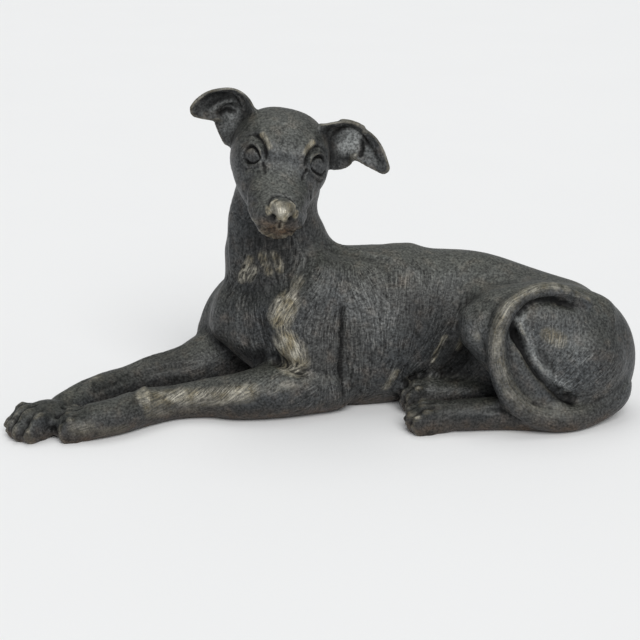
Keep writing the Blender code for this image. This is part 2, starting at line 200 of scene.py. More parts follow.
# Brow, mouth and nostril of the left side. The right mirrors them.
BROW_CREASE = ((34, 24, 14), (26, 26, 21), (18, 32, 25), (8, 38, 27))
BROW_RIDGE = ((28, 18, 26), (18, 25, 32), (6, 33, 34))
MOUTH_LINE = (
    (120, 1, -36),
    (117, 13, -43),
    (110, 24, -45),
    (98, 33, -41),
    (76, 38, -39),
    (48, 42, -37),
)
NOSTRIL = (122, 12, -22)
NOSTRIL_CUT = (6.5, -7)
PHILTRUM = ((126, -1, -24), (123, -1, -31), (120, -1, -38))
# Creases and ridges of the trunk and legs, as places on or near the skin.
SHOULDER_REAR = ((29, -74, 160), (29, -84, 104), (28, -81, 63), (27, -77, 21))
ELBOW_CREASE = ((-60, -74, 76), (-41, -83, 68), (-20, -92, 58))
SHOULDER_RIDGE = ((-55, -66, 152), (-50, -75, 128), (-38, -84, 98), (-28, -88, 72))
STERNUM_RIDGE = ((-107, -34, 155), (-106, -46, 132), (-105, -53, 106), (-107, -53, 80))
FLANK_EDGE = ((194, -68, 160), (177, -77, 129), (167, -71, 105), (149, -68, 70))
TAIL_CREASE = (
    (243, -118, 136),
    (246, -120, 122),
    (252, -124, 108),
    (261, -128, 92),
    (274, -132, 74),
    (289, -134, 58),
    (305, -134, 46),
    (324, -133, 40),
)
TAIL_UNDER = ((240, -122, 138), (250, -120, 156), (268, -114, 165), (292, -107, 165), (324, -99, 152))

# Finer creases and ridges: a path on the skin, its width and its lift, in shares.
BODY_LINES = (
    # edge of the shoulder blade and the back's long muscle
    (((8, -18, 222), (33, 3, 208), (59, -17, 203), (101, -37, 195), (140, -52, 178)), 6, 1.6),
    (((4, -30, 214), (32, -22, 200), (62, -34, 194), (100, -50, 184)), 7, -1.4),
    # rim of the neck, throat cords
    (((-100, -8, 235), (-103, -12, 205), (-106, -22, 175)), 7, 2.0),
    (((-92, -22, 232), (-95, -28, 205), (-98, -38, 175)), 6, -1.8),
    (((-20, -55, 250), (-22, -58, 215), (-38, -62, 175)), 8, 1.2),
    # between breast and upper arm
    (((-75, -64, 128), (-72, -68, 105), (-74, -68, 84), (-82, -66, 66)), 11, -3.5),
    # thigh's front edge and hip
    (((196, -80, 160), (193, -117, 145), (199, -130, 122), (206, -138, 105)), 10, -1.5),
    (((206, -51, 181), (232, -46, 186), (258, -42, 184)), 9, 1.8),
    (((212, -62, 176), (238, -64, 180), (262, -68, 178)), 8, -1.6),
    # tendons of the near and far forearm
    (((-78, -118, 44), (-102, -115, 39), (-141, -109, 31), (-179, -110, 26), (-213, -124, 25)), 9, -0.8),
    (((-160, -28, 52), (-205, -30, 46), (-245, -50, 42), (-272, -76, 38), (-296, -96, 34)), 6, -2),
    (((-176, 6, 60), (-215, -6, 54), (-255, -30, 50)), 6, 1.2),
    # wrists
    (((-228, -96, 46), (-222, -114, 45), (-216, -130, 34)), 7, 2.2),
    (((-240, -104, 44), (-236, -124, 42), (-230, -142, 30)), 6, -1.8),
    (((-286, -56, 46), (-296, -76, 46), (-298, -92, 38)), 7, 2.2),
    (((-300, -64, 44), (-312, -84, 44), (-312, -104, 34)), 6, -1.8),
    # behind the shoulder, under the armpit
    (((30, -76, 150), (29, -82, 110), (28, -82, 75), (28, -78, 40), (27, -74, 20)), 5, -2.0),
    # rim of the buttock and the folds at its foot
    (((252, -127, 146), (256, -130, 129), (264, -132, 112), (274, -137, 94)), 9, 1.4),
    (((274, -137, 94), (286, -141, 76), (300, -142, 60), (318, -140, 48)), 9, 1.0),
    (((214, -140, 84), (222, -139, 66), (230, -138, 50)), 5, 1.2),
    # cord of the near hock
    (((206, -146, 30), (240, -142, 32), (280, -146, 34)), 6, -1.6),
)
EAR_LINES = (
    # left ear: rolled rim, the channel under it, fold before the tip, lower lobe
    (
        (
            (14, -24, 357),
            (21, -33, 371),
            (34, -32, 377),
            (48, -32, 374),
            (60, -29, 361),
            (71, -29, 345),
            (82, -32, 328),
        ),
        5,
        2.2,
    ),
    (((20, -24, 356), (30, -26, 364), (42, -26, 365), (52, -26, 358), (61, -28, 344)), 6, -2.2),
    (((53, -22, 352), (55, -24, 340), (52, -26, 331)), 4.5, -2.6),
    (((14, -22, 316), (28, -24, 321), (41, -24, 328), (50, -26, 334)), 5, 1.5),
    # right ear: fold, hollow under it, rims
    (((-137, -22, 388), (-124, -17, 397), (-112, -16, 400), (-104, -15, 396)), 5, 2.4),
    (((-128, -16, 383), (-118, -13, 387), (-108, -12, 385)), 6, -2.6),
    (((-107, -26, 413), (-100, -21, 402), (-96, -17, 388)), 4, 1.8),
    (((-148, -28, 403), (-131, -24, 411), (-115, -22, 410)), 7, -2.0),
)
# Lids of the left (1) and the right (-1) eye in the head's frame: path, width, lift.
# Those with a negative lift are the grooves between a lid and the eyeball.
LIDS = {
    1: (
        (((37, 28, 13), (31, 29, 21), (24, 36, 24), (16, 45, 21), (12, 51, 12)), 4.0, 3.0),
        (((37, 28, 12), (39, 34, 5), (34, 43, -3), (26, 50, -7), (17, 53, -3)), 3.8, 2.6),
        (((34, 30, 12), (30, 32, 17), (24, 38, 20), (18, 44, 17), (15, 49, 11)), 3.0, -2.8),
        (((35, 31, 10), (36, 35, 6), (31, 43, 0), (24, 48, -3), (17, 51, 0)), 2.6, -2.0),
    ),
    -1: (
        (((38, 28, 13), (32, 31, 21), (24, 37, 24), (20, 44, 22), (18, 49, 15)), 4.0, 3.0),
        (((38, 28, 11), (41, 32, 6), (39, 38, 2), (35, 45, -1), (26, 51, 1)), 3.8, 2.6),
        (((18, 49, 15), (20, 51, 8), (26, 51, 1)), 3.8, 2.4),
        (((35, 30, 12), (31, 33, 17), (24, 38, 20), (21, 43, 18), (20, 47, 13)), 3.0, -2.8),
        (((36, 31, 9), (37, 37, 5), (33, 43, 2), (26, 48, 3)), 2.6, -2.0),
    ),
}
# Lines of the face, in the head's frame: path, width, lift. Both sides have them,
# and the middle lines stand once.
FACE_LINES = (
    # grooves above the lids, brows
    (((40, 25, 14), (33, 26, 23), (22, 31, 30), (12, 39, 29), (7, 49, 20)), 3.4, -2.2),
    (BROW_CREASE, 5.5, -2.8),
    (BROW_RIDGE, 11, 2.4),
    # tear channel
    (((37, 28, 9), (44, 24, 2), (51, 22, -4)), 3.5, -2.0),
    # cheek and the muzzle's side
    (((61, 31, -6), (68, 37, -20), (74, 38, -33)), 9, 1.6),
    (((50, 36, -10), (54, 41, -25), (56, 41, -38)), 8, -2.0),
    (((42, 40, -2), (46, 45, -16), (46, 46, -30)), 8, 1.4),
    (((97, 30, -20), (84, 34, -24), (70, 38, -31)), 6, -1.8),
    (((113, 23, -37), (99, 32, -34), (80, 37, -32)), 6, 1.6),
    # lips
    (MOUTH_LINE, 4, -1.5),
    (((108, 26, -51), (90, 34, -50), (60, 39, -48)), 10, -1.6),
    # wing of the nostril, edge of the nose pad
    (((107, 19, -15), (113, 20, -19), (118, 17, -25)), 3.2, 1.6),
    (((112, 21, -12), (103, 19, -9), (95, 14, -5), (91, 6, -4), (91, 0, -4)), 3.2, -1.8),
    (((109, 17, -9), (102, 12, -6), (98, 4, -5)), 3.2, 1.4),
)
MIDDLE_LINES = (
    (((-4, -8, 45), (16, -6, 36), (30, -3, 26), (46, 0, 13)), 9, -1.8),
    (PHILTRUM, 3.5, -2),
)

# How the fur lies on the body: place, direction of the strokes, depth and density of the marks.
# Each stands for its mirror image too.
BODY_FUR = (
    ((60, -5, 205), (1, 0, 0), 0.45),
    ((150, -5, 205), (1, 0, -0.05), 0.4),
    ((235, -10, 195), (1, -0.15, -0.15), 0.25),
    ((310, -20, 165), (0.9, -0.1, -0.5), 0.2),
    ((370, -50, 110), (0.4, -0.1, -1), 0.2),
    ((60, -78, 165), (0.35, 0, -1), 0.9),
    ((60, -85, 110), (0.15, 0, -1), 1.0),
    ((60, -80, 50), (0.05, 0, -1), 1.0),
    ((115, -74, 160), (-0.1, 0, -1), 0.9),
    ((110, -82, 110), (-0.2, 0, -1), 1.0),
    ((100, -75, 50), (-0.3, 0, -1), 1.0),
    ((152, -64, 155), (-0.3, 0, -1), 0.8),
    ((150, -72, 100), (-0.5, 0, -1), 0.9),
    ((140, -66, 55), (-0.7, 0, -0.7), 0.8),
    ((100, -50, 15), (-1, 0, -0.1), 0.5),
    ((20, -62, 195), (-0.2, -0.3, -1), 0.8),
    ((-5, -72, 180), (-0.45, -0.2, -0.9), 0.9),
    ((-20, -82, 150), (-0.55, 0, -0.85), 1.0),
    ((5, -88, 140), (-0.3, 0, -1), 0.9),
    ((5, -88, 90), (0, 0, -1), 0.9),
    ((5, -80, 40), (0.15, 0, -1), 0.8),
    ((-38, -84, 98), (0.4, -0.1, -1), 1.1),
    ((-55, -72, 140), (-0.5, -0.1, -0.9), 1.1),
    ((0, -45, 235), (0.15, -0.1, -1), 0.6),
    ((-12, -52, 265), (0.1, -0.1, -1), 0.5),
    ((-10, 40, 250), (0.3, 0, -1), 0.4),
    ((8, 25, 215), (0.8, 0, -0.6), 0.4),
    ((300, -112, 130), (-0.1, 0, -1), 0.7),
    ((262, -118, 120), (-0.4, 0, -0.9), 0.7),
    ((350, -100, 70), (-0.75, -0.1, -0.6), 1.0),
    ((362, -95, 110), (-0.55, -0.2, -0.8), 0.6),
    ((320, -115, 80), (-0.7, 0, -0.7), 1.0),
    ((330, -80, 150), (0.5, -0.3, -0.7), 0.3),
    ((220, -95, 168), (0.3, -0.4, -0.8), 0.3),
    ((203, -115, 140), (0.45, -0.1, -1), 0.6),
    ((210, -130, 110), (0.3, 0, -1), 0.3),
)
# The same for what has no mirror image: breast, throat, legs and tail.
OWN_FUR = (
    ((-60, -55, 165), (0.1, 0, -1), 1.1),
    ((-75, -45, 195), (-0.35, -0.1, -1), 1.5),
    ((-95, -38, 180), (-0.6, -0.1, -0.9), 1.4),
    ((-58, -50, 215), (-0.1, 0, -1), 1.3),
    ((-100, -10, 205), (-0.1, 0, -1), 0.3),
    ((-106, -48, 120), (0, 0, -1), 0.8),
    ((-85, -62, 115), (0.2, -0.2, -1), 0.9),
    ((-85, -62, 85), (0.3, -0.2, -1), 0.9),
    ((-130, -30, 110), (-0.3, -0.1, -1), 0.6),
    ((-130, -10, 70), (-0.8, -0.3, -0.3), 0.5),
    ((-20, -100, 52), (-0.9, -0.2, -0.35), 0.8),
    ((-83, -104, 58), (-0.75, -0.4, -0.5), 0.7),
    ((-115, -103, 54), (-0.7, -0.4, -0.6), 0.7),
    ((-154, -98, 46), (-0.7, -0.4, -0.6), 0.7),
    ((-192, -103, 42), (-0.75, -0.45, -0.5), 0.7),
    ((-90, -118, 25), (-0.9, -0.1, -0.3), 0.4),
    ((-150, -112, 18), (-0.9, 0, -0.3), 0.4),
    ((-200, -122, 18), (-0.9, -0.4, -0.2), 0.4),
    ((-90, -70, 55), (-1, 0, -0.1), 0.4),
    ((-180, -75, 35), (-1, -0.1, 0), 0.4),
    ((-187, -5, 64), (-0.8, -0.4, -0.2), 0.6),
    ((-251, -36, 50), (-0.75, -0.6, -0.1), 0.5),
    ((-210, -40, 30), (-0.8, -0.5, 0), 0.3),
    ((-180, 40, 40), (-0.9, -0.3, 0), 0.5),
    ((-345, -130, 34), (-0.8, -0.5, -0.2), 0.35),
    ((-300, -155, 34), (-0.9, -0.3, -0.2), 0.35),
    ((130, -134, 30), (-1, 0, -0.1), 0.3),
    ((220, -138, 22), (-1, -0.1, 0), 0.15),
    ((130, -68, 30), (-1, 0, 0), 0.3),
    ((258, -125, 60), (0.5, -0.1, -0.85), 0.12),
    ((262, -128, 90), (0.3, -0.1, -0.95), 0.15),
)
# The same for the head, in its own frame. The left side's rows stand for the right side too.
HEAD_FUR = (
    ((108, 8, -6), (-1, 0.1, 0.1), 0.2),
    ((80, 12, -2), (-1, 0.1, 0.15), 0.3),
    ((50, 12, 10), (-1, 0.15, 0.4), 0.35),
    ((20, 8, 32), (-0.8, 0.15, 0.5), 0.35),
    ((-15, 15, 46), (-1, 0.1, 0.1), 0.35),
    ((85, 33, -30), (-1, 0.1, -0.05), 0.3),
    ((45, 40, -22), (-0.95, 0.3, -0.2), 0.3),
    ((5, 56, -18), (-0.7, 0, -0.7), 0.35),
    ((-25, 55, -10), (-0.7, 0, -0.7), 0.4),
    ((95, 15, -58), (-1, 0, -0.2), 1.3),
    ((60, 18, -66), (-1, 0, -0.3), 1.4),
    ((20, 20, -62), (-0.8, 0, -0.6), 1.2),
)
# Where hands have rubbed the bronze: a path or a single place, radius and strength.
RUBS = (
    # edge of the breast
    (((-27, -64, 176), (-36, -69, 160), (-45, -76, 145)), 12, 0.45),
    (((-43, -75, 150), (-50, -77, 132)), 22, 1.0),
    (((-50, -78, 122), (-47, -84, 108)), 14, 0.5),
    (((-44, -86, 100), (-38, -87, 84), (-34, -86, 72)), 23, 1.15),
    (((-26, -85, 92), (-22, -85, 76)), 16, 0.6),
    # locks of the throat
    (((-90, -41, 198), (-96, -39, 186), (-101, -36, 172)), 9, 0.6),
    (((-84, -43, 186), (-90, -41, 174)), 8, 0.5),
    (((-74, -46, 206), (-69, -47, 195), (-65, -48, 184)), 8, 0.6),
    (((-59, -48, 206), (-53, -49, 198), (-51, -49, 188)), 8, 0.6),
    # side of the near forearm, its wrist and its paw
    (((-223, -125, 42), (-204, -120, 38), (-182, -108, 37), (-159, -108, 36)), 17, 0.56),
    (((-159, -108, 36), (-136, -112, 37), (-112, -117, 42), (-89, -119, 46)), 17, 0.5),
    (((-89, -119, 46), (-60, -118, 50), (-35, -110, 52)), 12, 0.15),
    (((-215, -134, 26), (-190, -124, 18), (-160, -116, 16)), 14, 0.3),
    (((-226, -109, 45), (-222, -130, 40), (-218, -136, 29)), 8, 0.5),
    (((-303, -180, 21), (-287, -180, 20)), 13, 0.3),
    (((-272, -168, 14), (-250, -158, 12)), 12, 0.3),
    # far wrist and paw
    (((-290, -70, 48),), 12, 0.35),
    (((-366, -160, 32),), 13, 0.2),
    # flank
    (((164, -67, 103), (155, -66, 85), (148, -67, 70)), 4.5, 0.8),
    (((186, -75, 112), (184, -68, 98), (181, -66, 84)), 4.5, 0.7),
    (((101, -73, 57), (94, -70, 45), (88, -65, 32)), 7, 0.5),
    # buttock, knee, hind feet
    (((288, -126, 125), (304, -124, 117)), 13, 0.5),
    (((203, -118, 140), (200, -124, 122)), 9, 0.3),
    (((112, -146, 26), (122, -154, 26)), 8, 0.5),
    (((118, -66, 42),), 10, 0.35),
)
# The same in the head's frame, for both sides.
HEAD_RUBS = (
    (((30, 21, 26), (24, 26, 31), (18, 31, 34)), 6.5, 1.0),
    (((125, 0, -19), (112, 6, -10)), 10, 0.65),
    (((103, 12, -7), (110, 17, -12), (117, 16, -17)), 6, 0.85),
    (((123, 0, -30), (119, 0, -36)), 6, 0.5),
    (((112, 8, -53), (107, 17, -52)), 8, 0.55),
    (((98, 20, -60), (88, 10, -64)), 10, 0.5),
    (((112, 19, -43),), 6, 0.35),
)
# Strength of the rubbed line along the tail, and the chin's brown: its place and radius.
TAIL_RUB = 0.28
CHIN_BROWN = ((108, 0, -48), 33)
# Lumps on each foot.
FOOT_LUMPS = 22
# The graver: how far it moves from mark to mark, and how many of its strokes raise a lock.
GRAVER_STEP = 1.9
RAISED_LOCKS = 0.35
# Smooth hollows of the ears: place, radius and strength.
EAR_HOLLOWS = (
    ((40, -18, 348), 24, 1.0),
    ((-113, -13, 384), 18, 0.6),
)
# Painted highlights and reflections (the ear hollows, the buttock's rim, ribs, knee, back and forehead),
# with thin pale patina on some ridges, the same way.
HIGHLIGHTS_AND_THIN_PATINA = (
    (((36, -16, 342), (43, -20, 356)), 18, 1.0),
    (((62, -26, 340), (68, -29, 328)), 8, 0.35),
    (((-110, -12, 384), (-116, -12, 368)), 15, 0.4),
    (((-137, -22, 388), (-124, -17, 397), (-112, -16, 400)), 4, 0.35),
    (((249, -124, 144), (256, -124, 126), (266, -127, 107), (279, -130, 90)), 13, 0.42),
    (((279, -130, 90), (294, -134, 72), (310, -136, 60)), 13, 0.3),
    (((300, -126, 112),), 48, 0.12),
    (((50, -84, 150),), 40, 0.12),
    (((82, -84, 125),), 42, 0.16),
    (((204, -122, 126),), 32, 0.12),
    (((194, -90, 150), (193, -124, 124)), 18, 0.14),
    (((9, -9, 223), (37, 1, 205), (65, -23, 201), (90, -36, 197), (132, -48, 183)), 5, 0.14),
    (((-105, -42, 154), (-105, -52, 132), (-105, -58, 100)), 5, 0.14),
    (((240, -60, 185),), 60, 0.05),
    (((150, -20, 205),), 80, 0.04),
    (((0, -90, 110),), 40, 0.04),
)
# The same in the head's frame: painted highlights on the forehead and the muzzle's bridge.
HEAD_HIGHLIGHTS_AND_THIN_PATINA = (
    (((30, 0, 26), (5, 0, 44)), 42, 0.09),
    (((60, 0, 2), (88, 0, -6)), 28, 0.09),
)
# Painted shade in gaps, creases and undersides, under the chin and belly and under the ear rims, with
# darker patina in the grooves, the same way.
SHADES_AND_DARK_PATINA = (
    # gap inside the tail's curl, and under the tail
    (((241, -121, 138), (249, -121, 114), (256, -128, 97), (263, -135, 85)), 9, 1.3),
    (((263, -135, 85), (275, -138, 70), (288, -141, 57), (301, -140, 45), (317, -137, 38)), 10, 1.3),
    (((247, -128, 165), (263, -121, 168), (283, -107, 165), (302, -103, 160), (319, -103, 155)), 6, 0.8),
    # crease behind the shoulder
    (((29, -75, 152), (29, -80, 110), (28, -81, 76), (28, -78, 48), (27, -76, 27)), 5, 0.4),
    # breast, and the hollow between the forelegs
    (((-85, -40, 150),), 45, 0.5),
    (((-105, -28, 150),), 38, 0.3),
    (((-75, -62, 115),), 34, 0.35),
    (((-97, -50, 76), (-80, -58, 76), (-65, -64, 76)), 18, 0.6),
    (((-122, -46, 190),), 28, 0.45),
    (((-70, -50, 240),), 60, 0.55),
    (((-85, -48, 205),), 35, 0.3),
    (((0, -60, 235),), 50, 0.35),
    # belly, loin and rump
    (((175, -75, 75),), 42, 0.7),
    (((130, -66, 60),), 38, 0.3),
    (((140, -66, 140), (130, -70, 100)), 42, 0.3),
    (((380, -80, 100),), 70, 0.3),
    # undersides of the legs and paws
    (((-250, -65, 18), (-200, -40, 25)), 42, 0.45),
    (((240, -145, 15), (300, -150, 12)), 32, 0.3),
    (((-300, -165, 25),), 60, 0.35),
    (((-350, -140, 25),), 60, 0.5),
    (((-270, -75, 45),), 50, 0.45),
    (((-200, -30, 55),), 60, 0.4),
    (((200, -145, 30), (120, -140, 25)), 45, 0.45),
    (((-200, -135, 12), (-130, -125, 12), (-60, -128, 20)), 30, 0.5),
    # ears: under the left rim and beside the fold, inside the right
    (((24, -25, 370), (38, -31, 373), (50, -30, 370)), 7, 0.6),
    (((53, -22, 350), (55, -24, 338)), 3.5, 0.8),
    (((-138, -22, 398), (-122, -18, 408)), 10, 0.6),
)
# The same in the head's frame: painted shade in the grooves of the lids, in the nostrils, along the
# mouth, under the chin, beside the muzzle and under the ears.
HEAD_SHADES_AND_DARK_PATINA = (
    (((40, 25, 14), (33, 26, 23), (22, 31, 30), (12, 39, 29)), 3.4, 0.7),
    (((39, 26, 8), (46, 23, 1)), 4, 0.6),
    (((117, 11, -22),), 7, 1.0),
    (((104, 4, -50),), 26, 0.45),
    (((121, 7, -27), (117, 17, -26)), 3.5, 0.6),
    (((117, 6, -38), (113, 14, -43), (105, 25, -46), (90, 33, -43)), 3, 0.5),
    (((66, 38, -20), (92, 32, -28)), 14, 0.35),
    (((-18, 58, 0),), 22, 0.4),
)


def share(point):
    """A place given in shares, in metres."""
    return Vector(point[:3]) * SHARE


def smooth_stations(stations, spans=RINGS_PER_SPAN):
    """Every column of the stations, carried on a smooth curve through them."""
    rows = np.array(stations, float)
    padded = np.vstack([2 * rows[0] - rows[1], rows, 2 * rows[-1] - rows[-2]])
    out = []
    for i in range(len(rows) - 1):
        a, b, c, d = padded[i : i + 4]
        for k in range(spans):
            t = k / spans
            out.append(
                0.5
                * (
                    2 * b
                    + (c - a) * t
                    + (2 * a - 5 * b + 4 * c - d) * t**2
                    + (3 * b - a - 3 * c + d) * t**3
                )
            )
    out.append(rows[-1])
    return np.array(out)


def loft(stations, dorsal, round_ends=(1.0, 1.0), squareness=(2.0, 2.0)):
    """A closed skin through oval sections across a path.

    Each station is x, y, z, half width, rise, drop. Rise is measured towards the dorsal
    direction and drop away from it. The ends are rounded by a share of the end's half width.
    Squareness is that of the section's upper and lower half: 2 is an ellipse, less is leaner.
    """
    rows = smooth_stations(stations)
    path = rows[:, :3]
    tangents = np.gradient(path, axis=0)
    tangents /= np.linalg.norm(tangents, axis=1)[:, None]
    rings = []
    steps = 4
    for end, sign in ((0, -1), (-1, 1)):
        reach = round_ends[0 if end == 0 else 1] * rows[end, 3]
        cap = []
        for k in range(1, steps):
            angle = math.pi / 2 * k / steps
            centre = path[end] + sign * tangents[end] * reach * math.sin(angle)
            cap.append((centre, tangents[end], rows[end, 3:6] * math.cos(angle)))
        pole = path[end] + sign * tangents[end] * reach
        if end == 0:
            first_pole, first_cap = pole, cap[::-1]
        else:
            last_pole, last_cap = pole, cap
    body = [(path[i], tangents[i], rows[i, 3:6]) for i in range(len(rows))]
    for centre, tangent, (half, rise, drop) in first_cap + body + last_cap:
        up = np.array(dorsal, float) - np.dot(dorsal, tangent) * tangent
        up /= np.linalg.norm(up)
        side = np.cross(tangent, up)
        ring = []
        for k in range(RING_POINTS):
            angle = 2 * math.pi * k / RING_POINTS
            c, s = math.cos(angle), math.sin(angle)
            power = 2 / squareness[0 if s > 0 else 1]
            across = half * math.copysign(abs(c) ** power, c)
            height = (rise if s > 0 else drop) * math.copysign(abs(s) ** power, s)
            ring.append(centre + side * across + up * height)
        rings.append(ring)
    return skin(rings, first_pole, last_pole)


def skin(rings, first_pole, last_pole):
    """A mesh over rings of points, closed by a fan at each pole."""
    bm = bmesh.new()
    loops = [[bm.verts.new(Vector(p) * SHARE) for p in ring] for ring in rings]
    count = len(rings[0])
    for low, high in zip(loops, loops[1:]):
        for k in range(count):
            bm.faces.new((low[k], low[(k + 1) % count], high[(k + 1) % count], high[k]))
    for pole, loop in ((first_pole, loops[0]), (last_pole, loops[-1])):
        tip = bm.verts.new(Vector(pole) * SHARE)
        for k in range(count):
            bm.faces.new((tip, loop[k], loop[(k + 1) % count]))
    bmesh.ops.recalc_face_normals(bm, faces=bm.faces)
    return bm


def limb(stations):
    """A loft of round sections: x, y, z, radius."""
    rows = [(x, y, z, r, r, r) for x, y, z, r in stations]
    return loft(rows, (0, 0, 1))


def egg(place):
    """A unit ball carried by a matrix that is given in shares."""
    bm = bmesh.new()
    bmesh.ops.create_uvsphere(bm, u_segments=24, v_segments=16, radius=1)
    shares = Matrix.Diagonal((SHARE, SHARE, SHARE, 1))
    bmesh.ops.transform(bm, matrix=shares @ place, verts=bm.verts)
    return bm


def mass(centre, radii, turn=(0, 0, 0)):
    """An egg-shaped mass: centre and radii in shares, turned in degrees about X, Y and Z."""
    place = Matrix.Translation(Vector(centre))
    for axis, angle in zip("ZYX", turn[::-1]):
        place = place @ Matrix.Rotation(math.radians(angle), 4, axis)
    return egg(place @ Matrix.Diagonal((*radii, 1)))


def head_frame():
    """The turn and place that carry the head's own frame into the hound's."""
    yaw, pitch, roll = (math.radians(a) for a in (HEAD_YAW, HEAD_PITCH, HEAD_ROLL))
    forward = Vector(
        (
            math.sin(yaw) * math.cos(pitch),
            -math.cos(yaw) * math.cos(pitch),
            math.sin(pitch),
        )
    )
    level = Vector((math.cos(yaw), math.sin(yaw), 0))
    crown = forward.cross(level)
    left = level * math.cos(roll) - crown * math.sin(roll)
    up = crown * math.cos(roll) + level * math.sin(roll)
    turn = Matrix((forward, left, up)).transposed()
    return Matrix.Translation(Vector(HEAD_PLACE)) @ turn.to_4x4()


def head_point(forward, left, up):
    """A place in the head's frame, in the hound's shares."""
    return tuple(head_frame() @ Vector((forward, left, up)))


def head_direction(forward, left, up):
    """A direction in the head's frame, in the hound's."""
    return tuple(head_frame().to_3x3() @ Vector((forward, left, up)))


def head_mass(centre, radii):
    """An egg-shaped mass placed and turned in the head's frame."""
    return egg(head_frame() @ Matrix.Translation(Vector(centre)) @ Matrix.Diagonal((*radii, 1)))


def skull():
    rows = [(*head_point(*row[:3]), *row[3:]) for row in HEAD]
    return loft(rows, head_direction(0, 0, 1), round_ends=(0.8, 0.55), squareness=(2.5, 1.85))


def paw(wrist, tip, half, height, low):
    """Toes fanned between a wrist and a tip, in shares; they slope from height to low."""
    start, end = Vector((*wrist, height * 0.42)), Vector((*tip, height * 0.42))
    along = end - start
    length = along.length
    along.normalize()
    across = Vector((-along.y, along.x, 0))
    heading = math.degrees(math.atan2(along.y, along.x))
    pad = start + along * length * 0.36
    parts = [mass(pad, (length * 0.48, half * 0.92, height * 0.54), (0, 0, heading))]
    for k in range(TOES):
        spread = 2 * k / (TOES - 1) - 1
        reach = length * (0.66 - 0.10 * spread**2)
        knuckle = start + along * reach + across * half * 0.68 * spread
        size = (length * 0.22, half * 0.29, height * 0.50)
        turn = (0, 10, heading + spread * 8)
        parts.append(mass(knuckle, size, turn))
        end_joint = knuckle + along * length * 0.17 + across * half * 0.06 * spread
        end_joint.z = low * 0.42
        parts.append(mass(end_joint, (length * 0.16, half * 0.27, low * 0.52), turn))
    return parts


def ear(stations, face, ear_wall):
    """A cupped leaf: its hollow side looks along face, its rims curl towards it."""
    rows = smooth_stations(stations)
    path = rows[:, :3]
    tangents = np.gradient(path, axis=0)
    tangents /= np.linalg.norm(tangents, axis=1)[:, None]
    rings = []
    half_ring = RING_POINTS // 2
    for centre, tangent, (half, cup) in zip(path, tangents, rows[:, 3:5]):
        out = np.array(face, float) - np.dot(face, tangent) * tangent
        out /= np.linalg.norm(out)
        side = np.cross(tangent, out)
        thick = ear_wall / SHARE * min(1, 0.6 + half / 40)
        ring = []
        for k in range(RING_POINTS):
            front = k < half_ring
            step = k if front else RING_POINTS - 1 - k
            t = 2 * step / (half_ring - 1) - 1
            rim = 0.55 + 0.45 * math.sqrt(max(0, 1 - t**2))
            offset = cup * (t**2 - 0.4) + thick / 2 * rim * (1 if front else -1)
            ring.append(centre + side * half * t * (1 - 0.10 * t**2) + out * offset)
        rings.append(ring)
    first = path[0] - tangents[0] * 3
    last = path[-1] + tangents[-1] * 3
    return skin(rings, first, last)


def soft_masses():
    """The masses that flow into each other."""
    return [
        loft(TRUNK, (0, 0, 1), round_ends=(0.7, 0.6), squareness=(2.2, 2.2)),
        loft(NECK, (1, 0, 0)),
        skull(),
        # near shoulder blade and upper arm
        loft(
            (
                (8, -42, 178, 26, 34, 34),
                (-8, -58, 140, 28, 44, 42),
                (-12, -64, 95, 28, 44, 40),
                (0, -62, 55, 28, 38, 38),
                (8, -56, 28, 26, 30, 34),
            ),
            (1, 0, 0),
        ),
        # far shoulder blade and upper arm, swung forward
        loft(
            (
                (-43, 36, 186, 26, 34, 34),
                (-75, 42, 147, 30, 40, 38),
                (-114, 42, 106, 30, 38, 40),
                (-132, 42, 65, 28, 34, 39),
            ),
            (1, 0, 0),
        ),
        # near haunch, thigh and ham
        loft(
            (
                (352, -62, 96, 48, 62, 78),
                (310, -68, 108, 53, 66, 72),
                (266, -78, 125, 50, 56, 52),
                (226, -90, 134, 40, 42, 42),
            ),
            (0, 0, 1),
            round_ends=(0.7, 0.9),
        ),
        mass((334, -84, 70), (66, 52, 70), (0, 20, 12)),
        # rump
        mass((337, -52, 68), (79, 62, 91)),
        # far haunch and thigh, lying on the ground
        mass((300, 28, 58), (92, 52, 62), (0, 8, -10)),
        mass((240, -22, 44), (70, 50, 44), (0, 0, -10)),
    ]


def limbs():
    """Legs, tail, feet, chin and nose."""
    paths = (NEAR_FOREARM, FAR_FOREARM, NEAR_SHANK, NEAR_METATARSUS)
    parts = [limb(path) for path in (*paths, FAR_SHANK, FAR_METATARSUS, TAIL)]
    for foot in FEET:
        parts += paw(*foot)
    parts.append(head_mass(*CHIN))
    parts.append(head_mass(*NOSE))
    return parts


def ears(ear_wall):
    """Both ears, their hollows to the front and a little downward."""
    faces = ((LEFT_EAR, (0.1, -0.9, -0.3)), (RIGHT_EAR, (-0.1, -0.9, -0.3)))
    return [ear(stations, face, ear_wall) for stations, face in faces]


def new_object(name, parts):
    """One object that holds all the parts' skins, overlapping."""
    joined = bpy.data.meshes.new(name)
    bm = bmesh.new()
    for part in parts:
        piece = bpy.data.meshes.new("piece")
        part.to_mesh(piece)
        part.free()
        bm.from_mesh(piece)
        bpy.data.meshes.remove(piece)
    bm.to_mesh(joined)
    bm.free()
    obj = bpy.data.objects.new(name, joined)
    bpy.context.scene.collection.objects.link(obj)
    return obj


def applied(obj):
    """The object's mesh with its modifiers worked in, as a bmesh; the object goes."""
    graph = bpy.context.evaluated_depsgraph_get()
    mesh = bpy.data.meshes.new_from_object(obj.evaluated_get(graph))
    bpy.data.objects.remove(obj)
    bm = bmesh.new()
    bm.from_mesh(mesh)
    bpy.data.meshes.remove(mesh)
    return bm


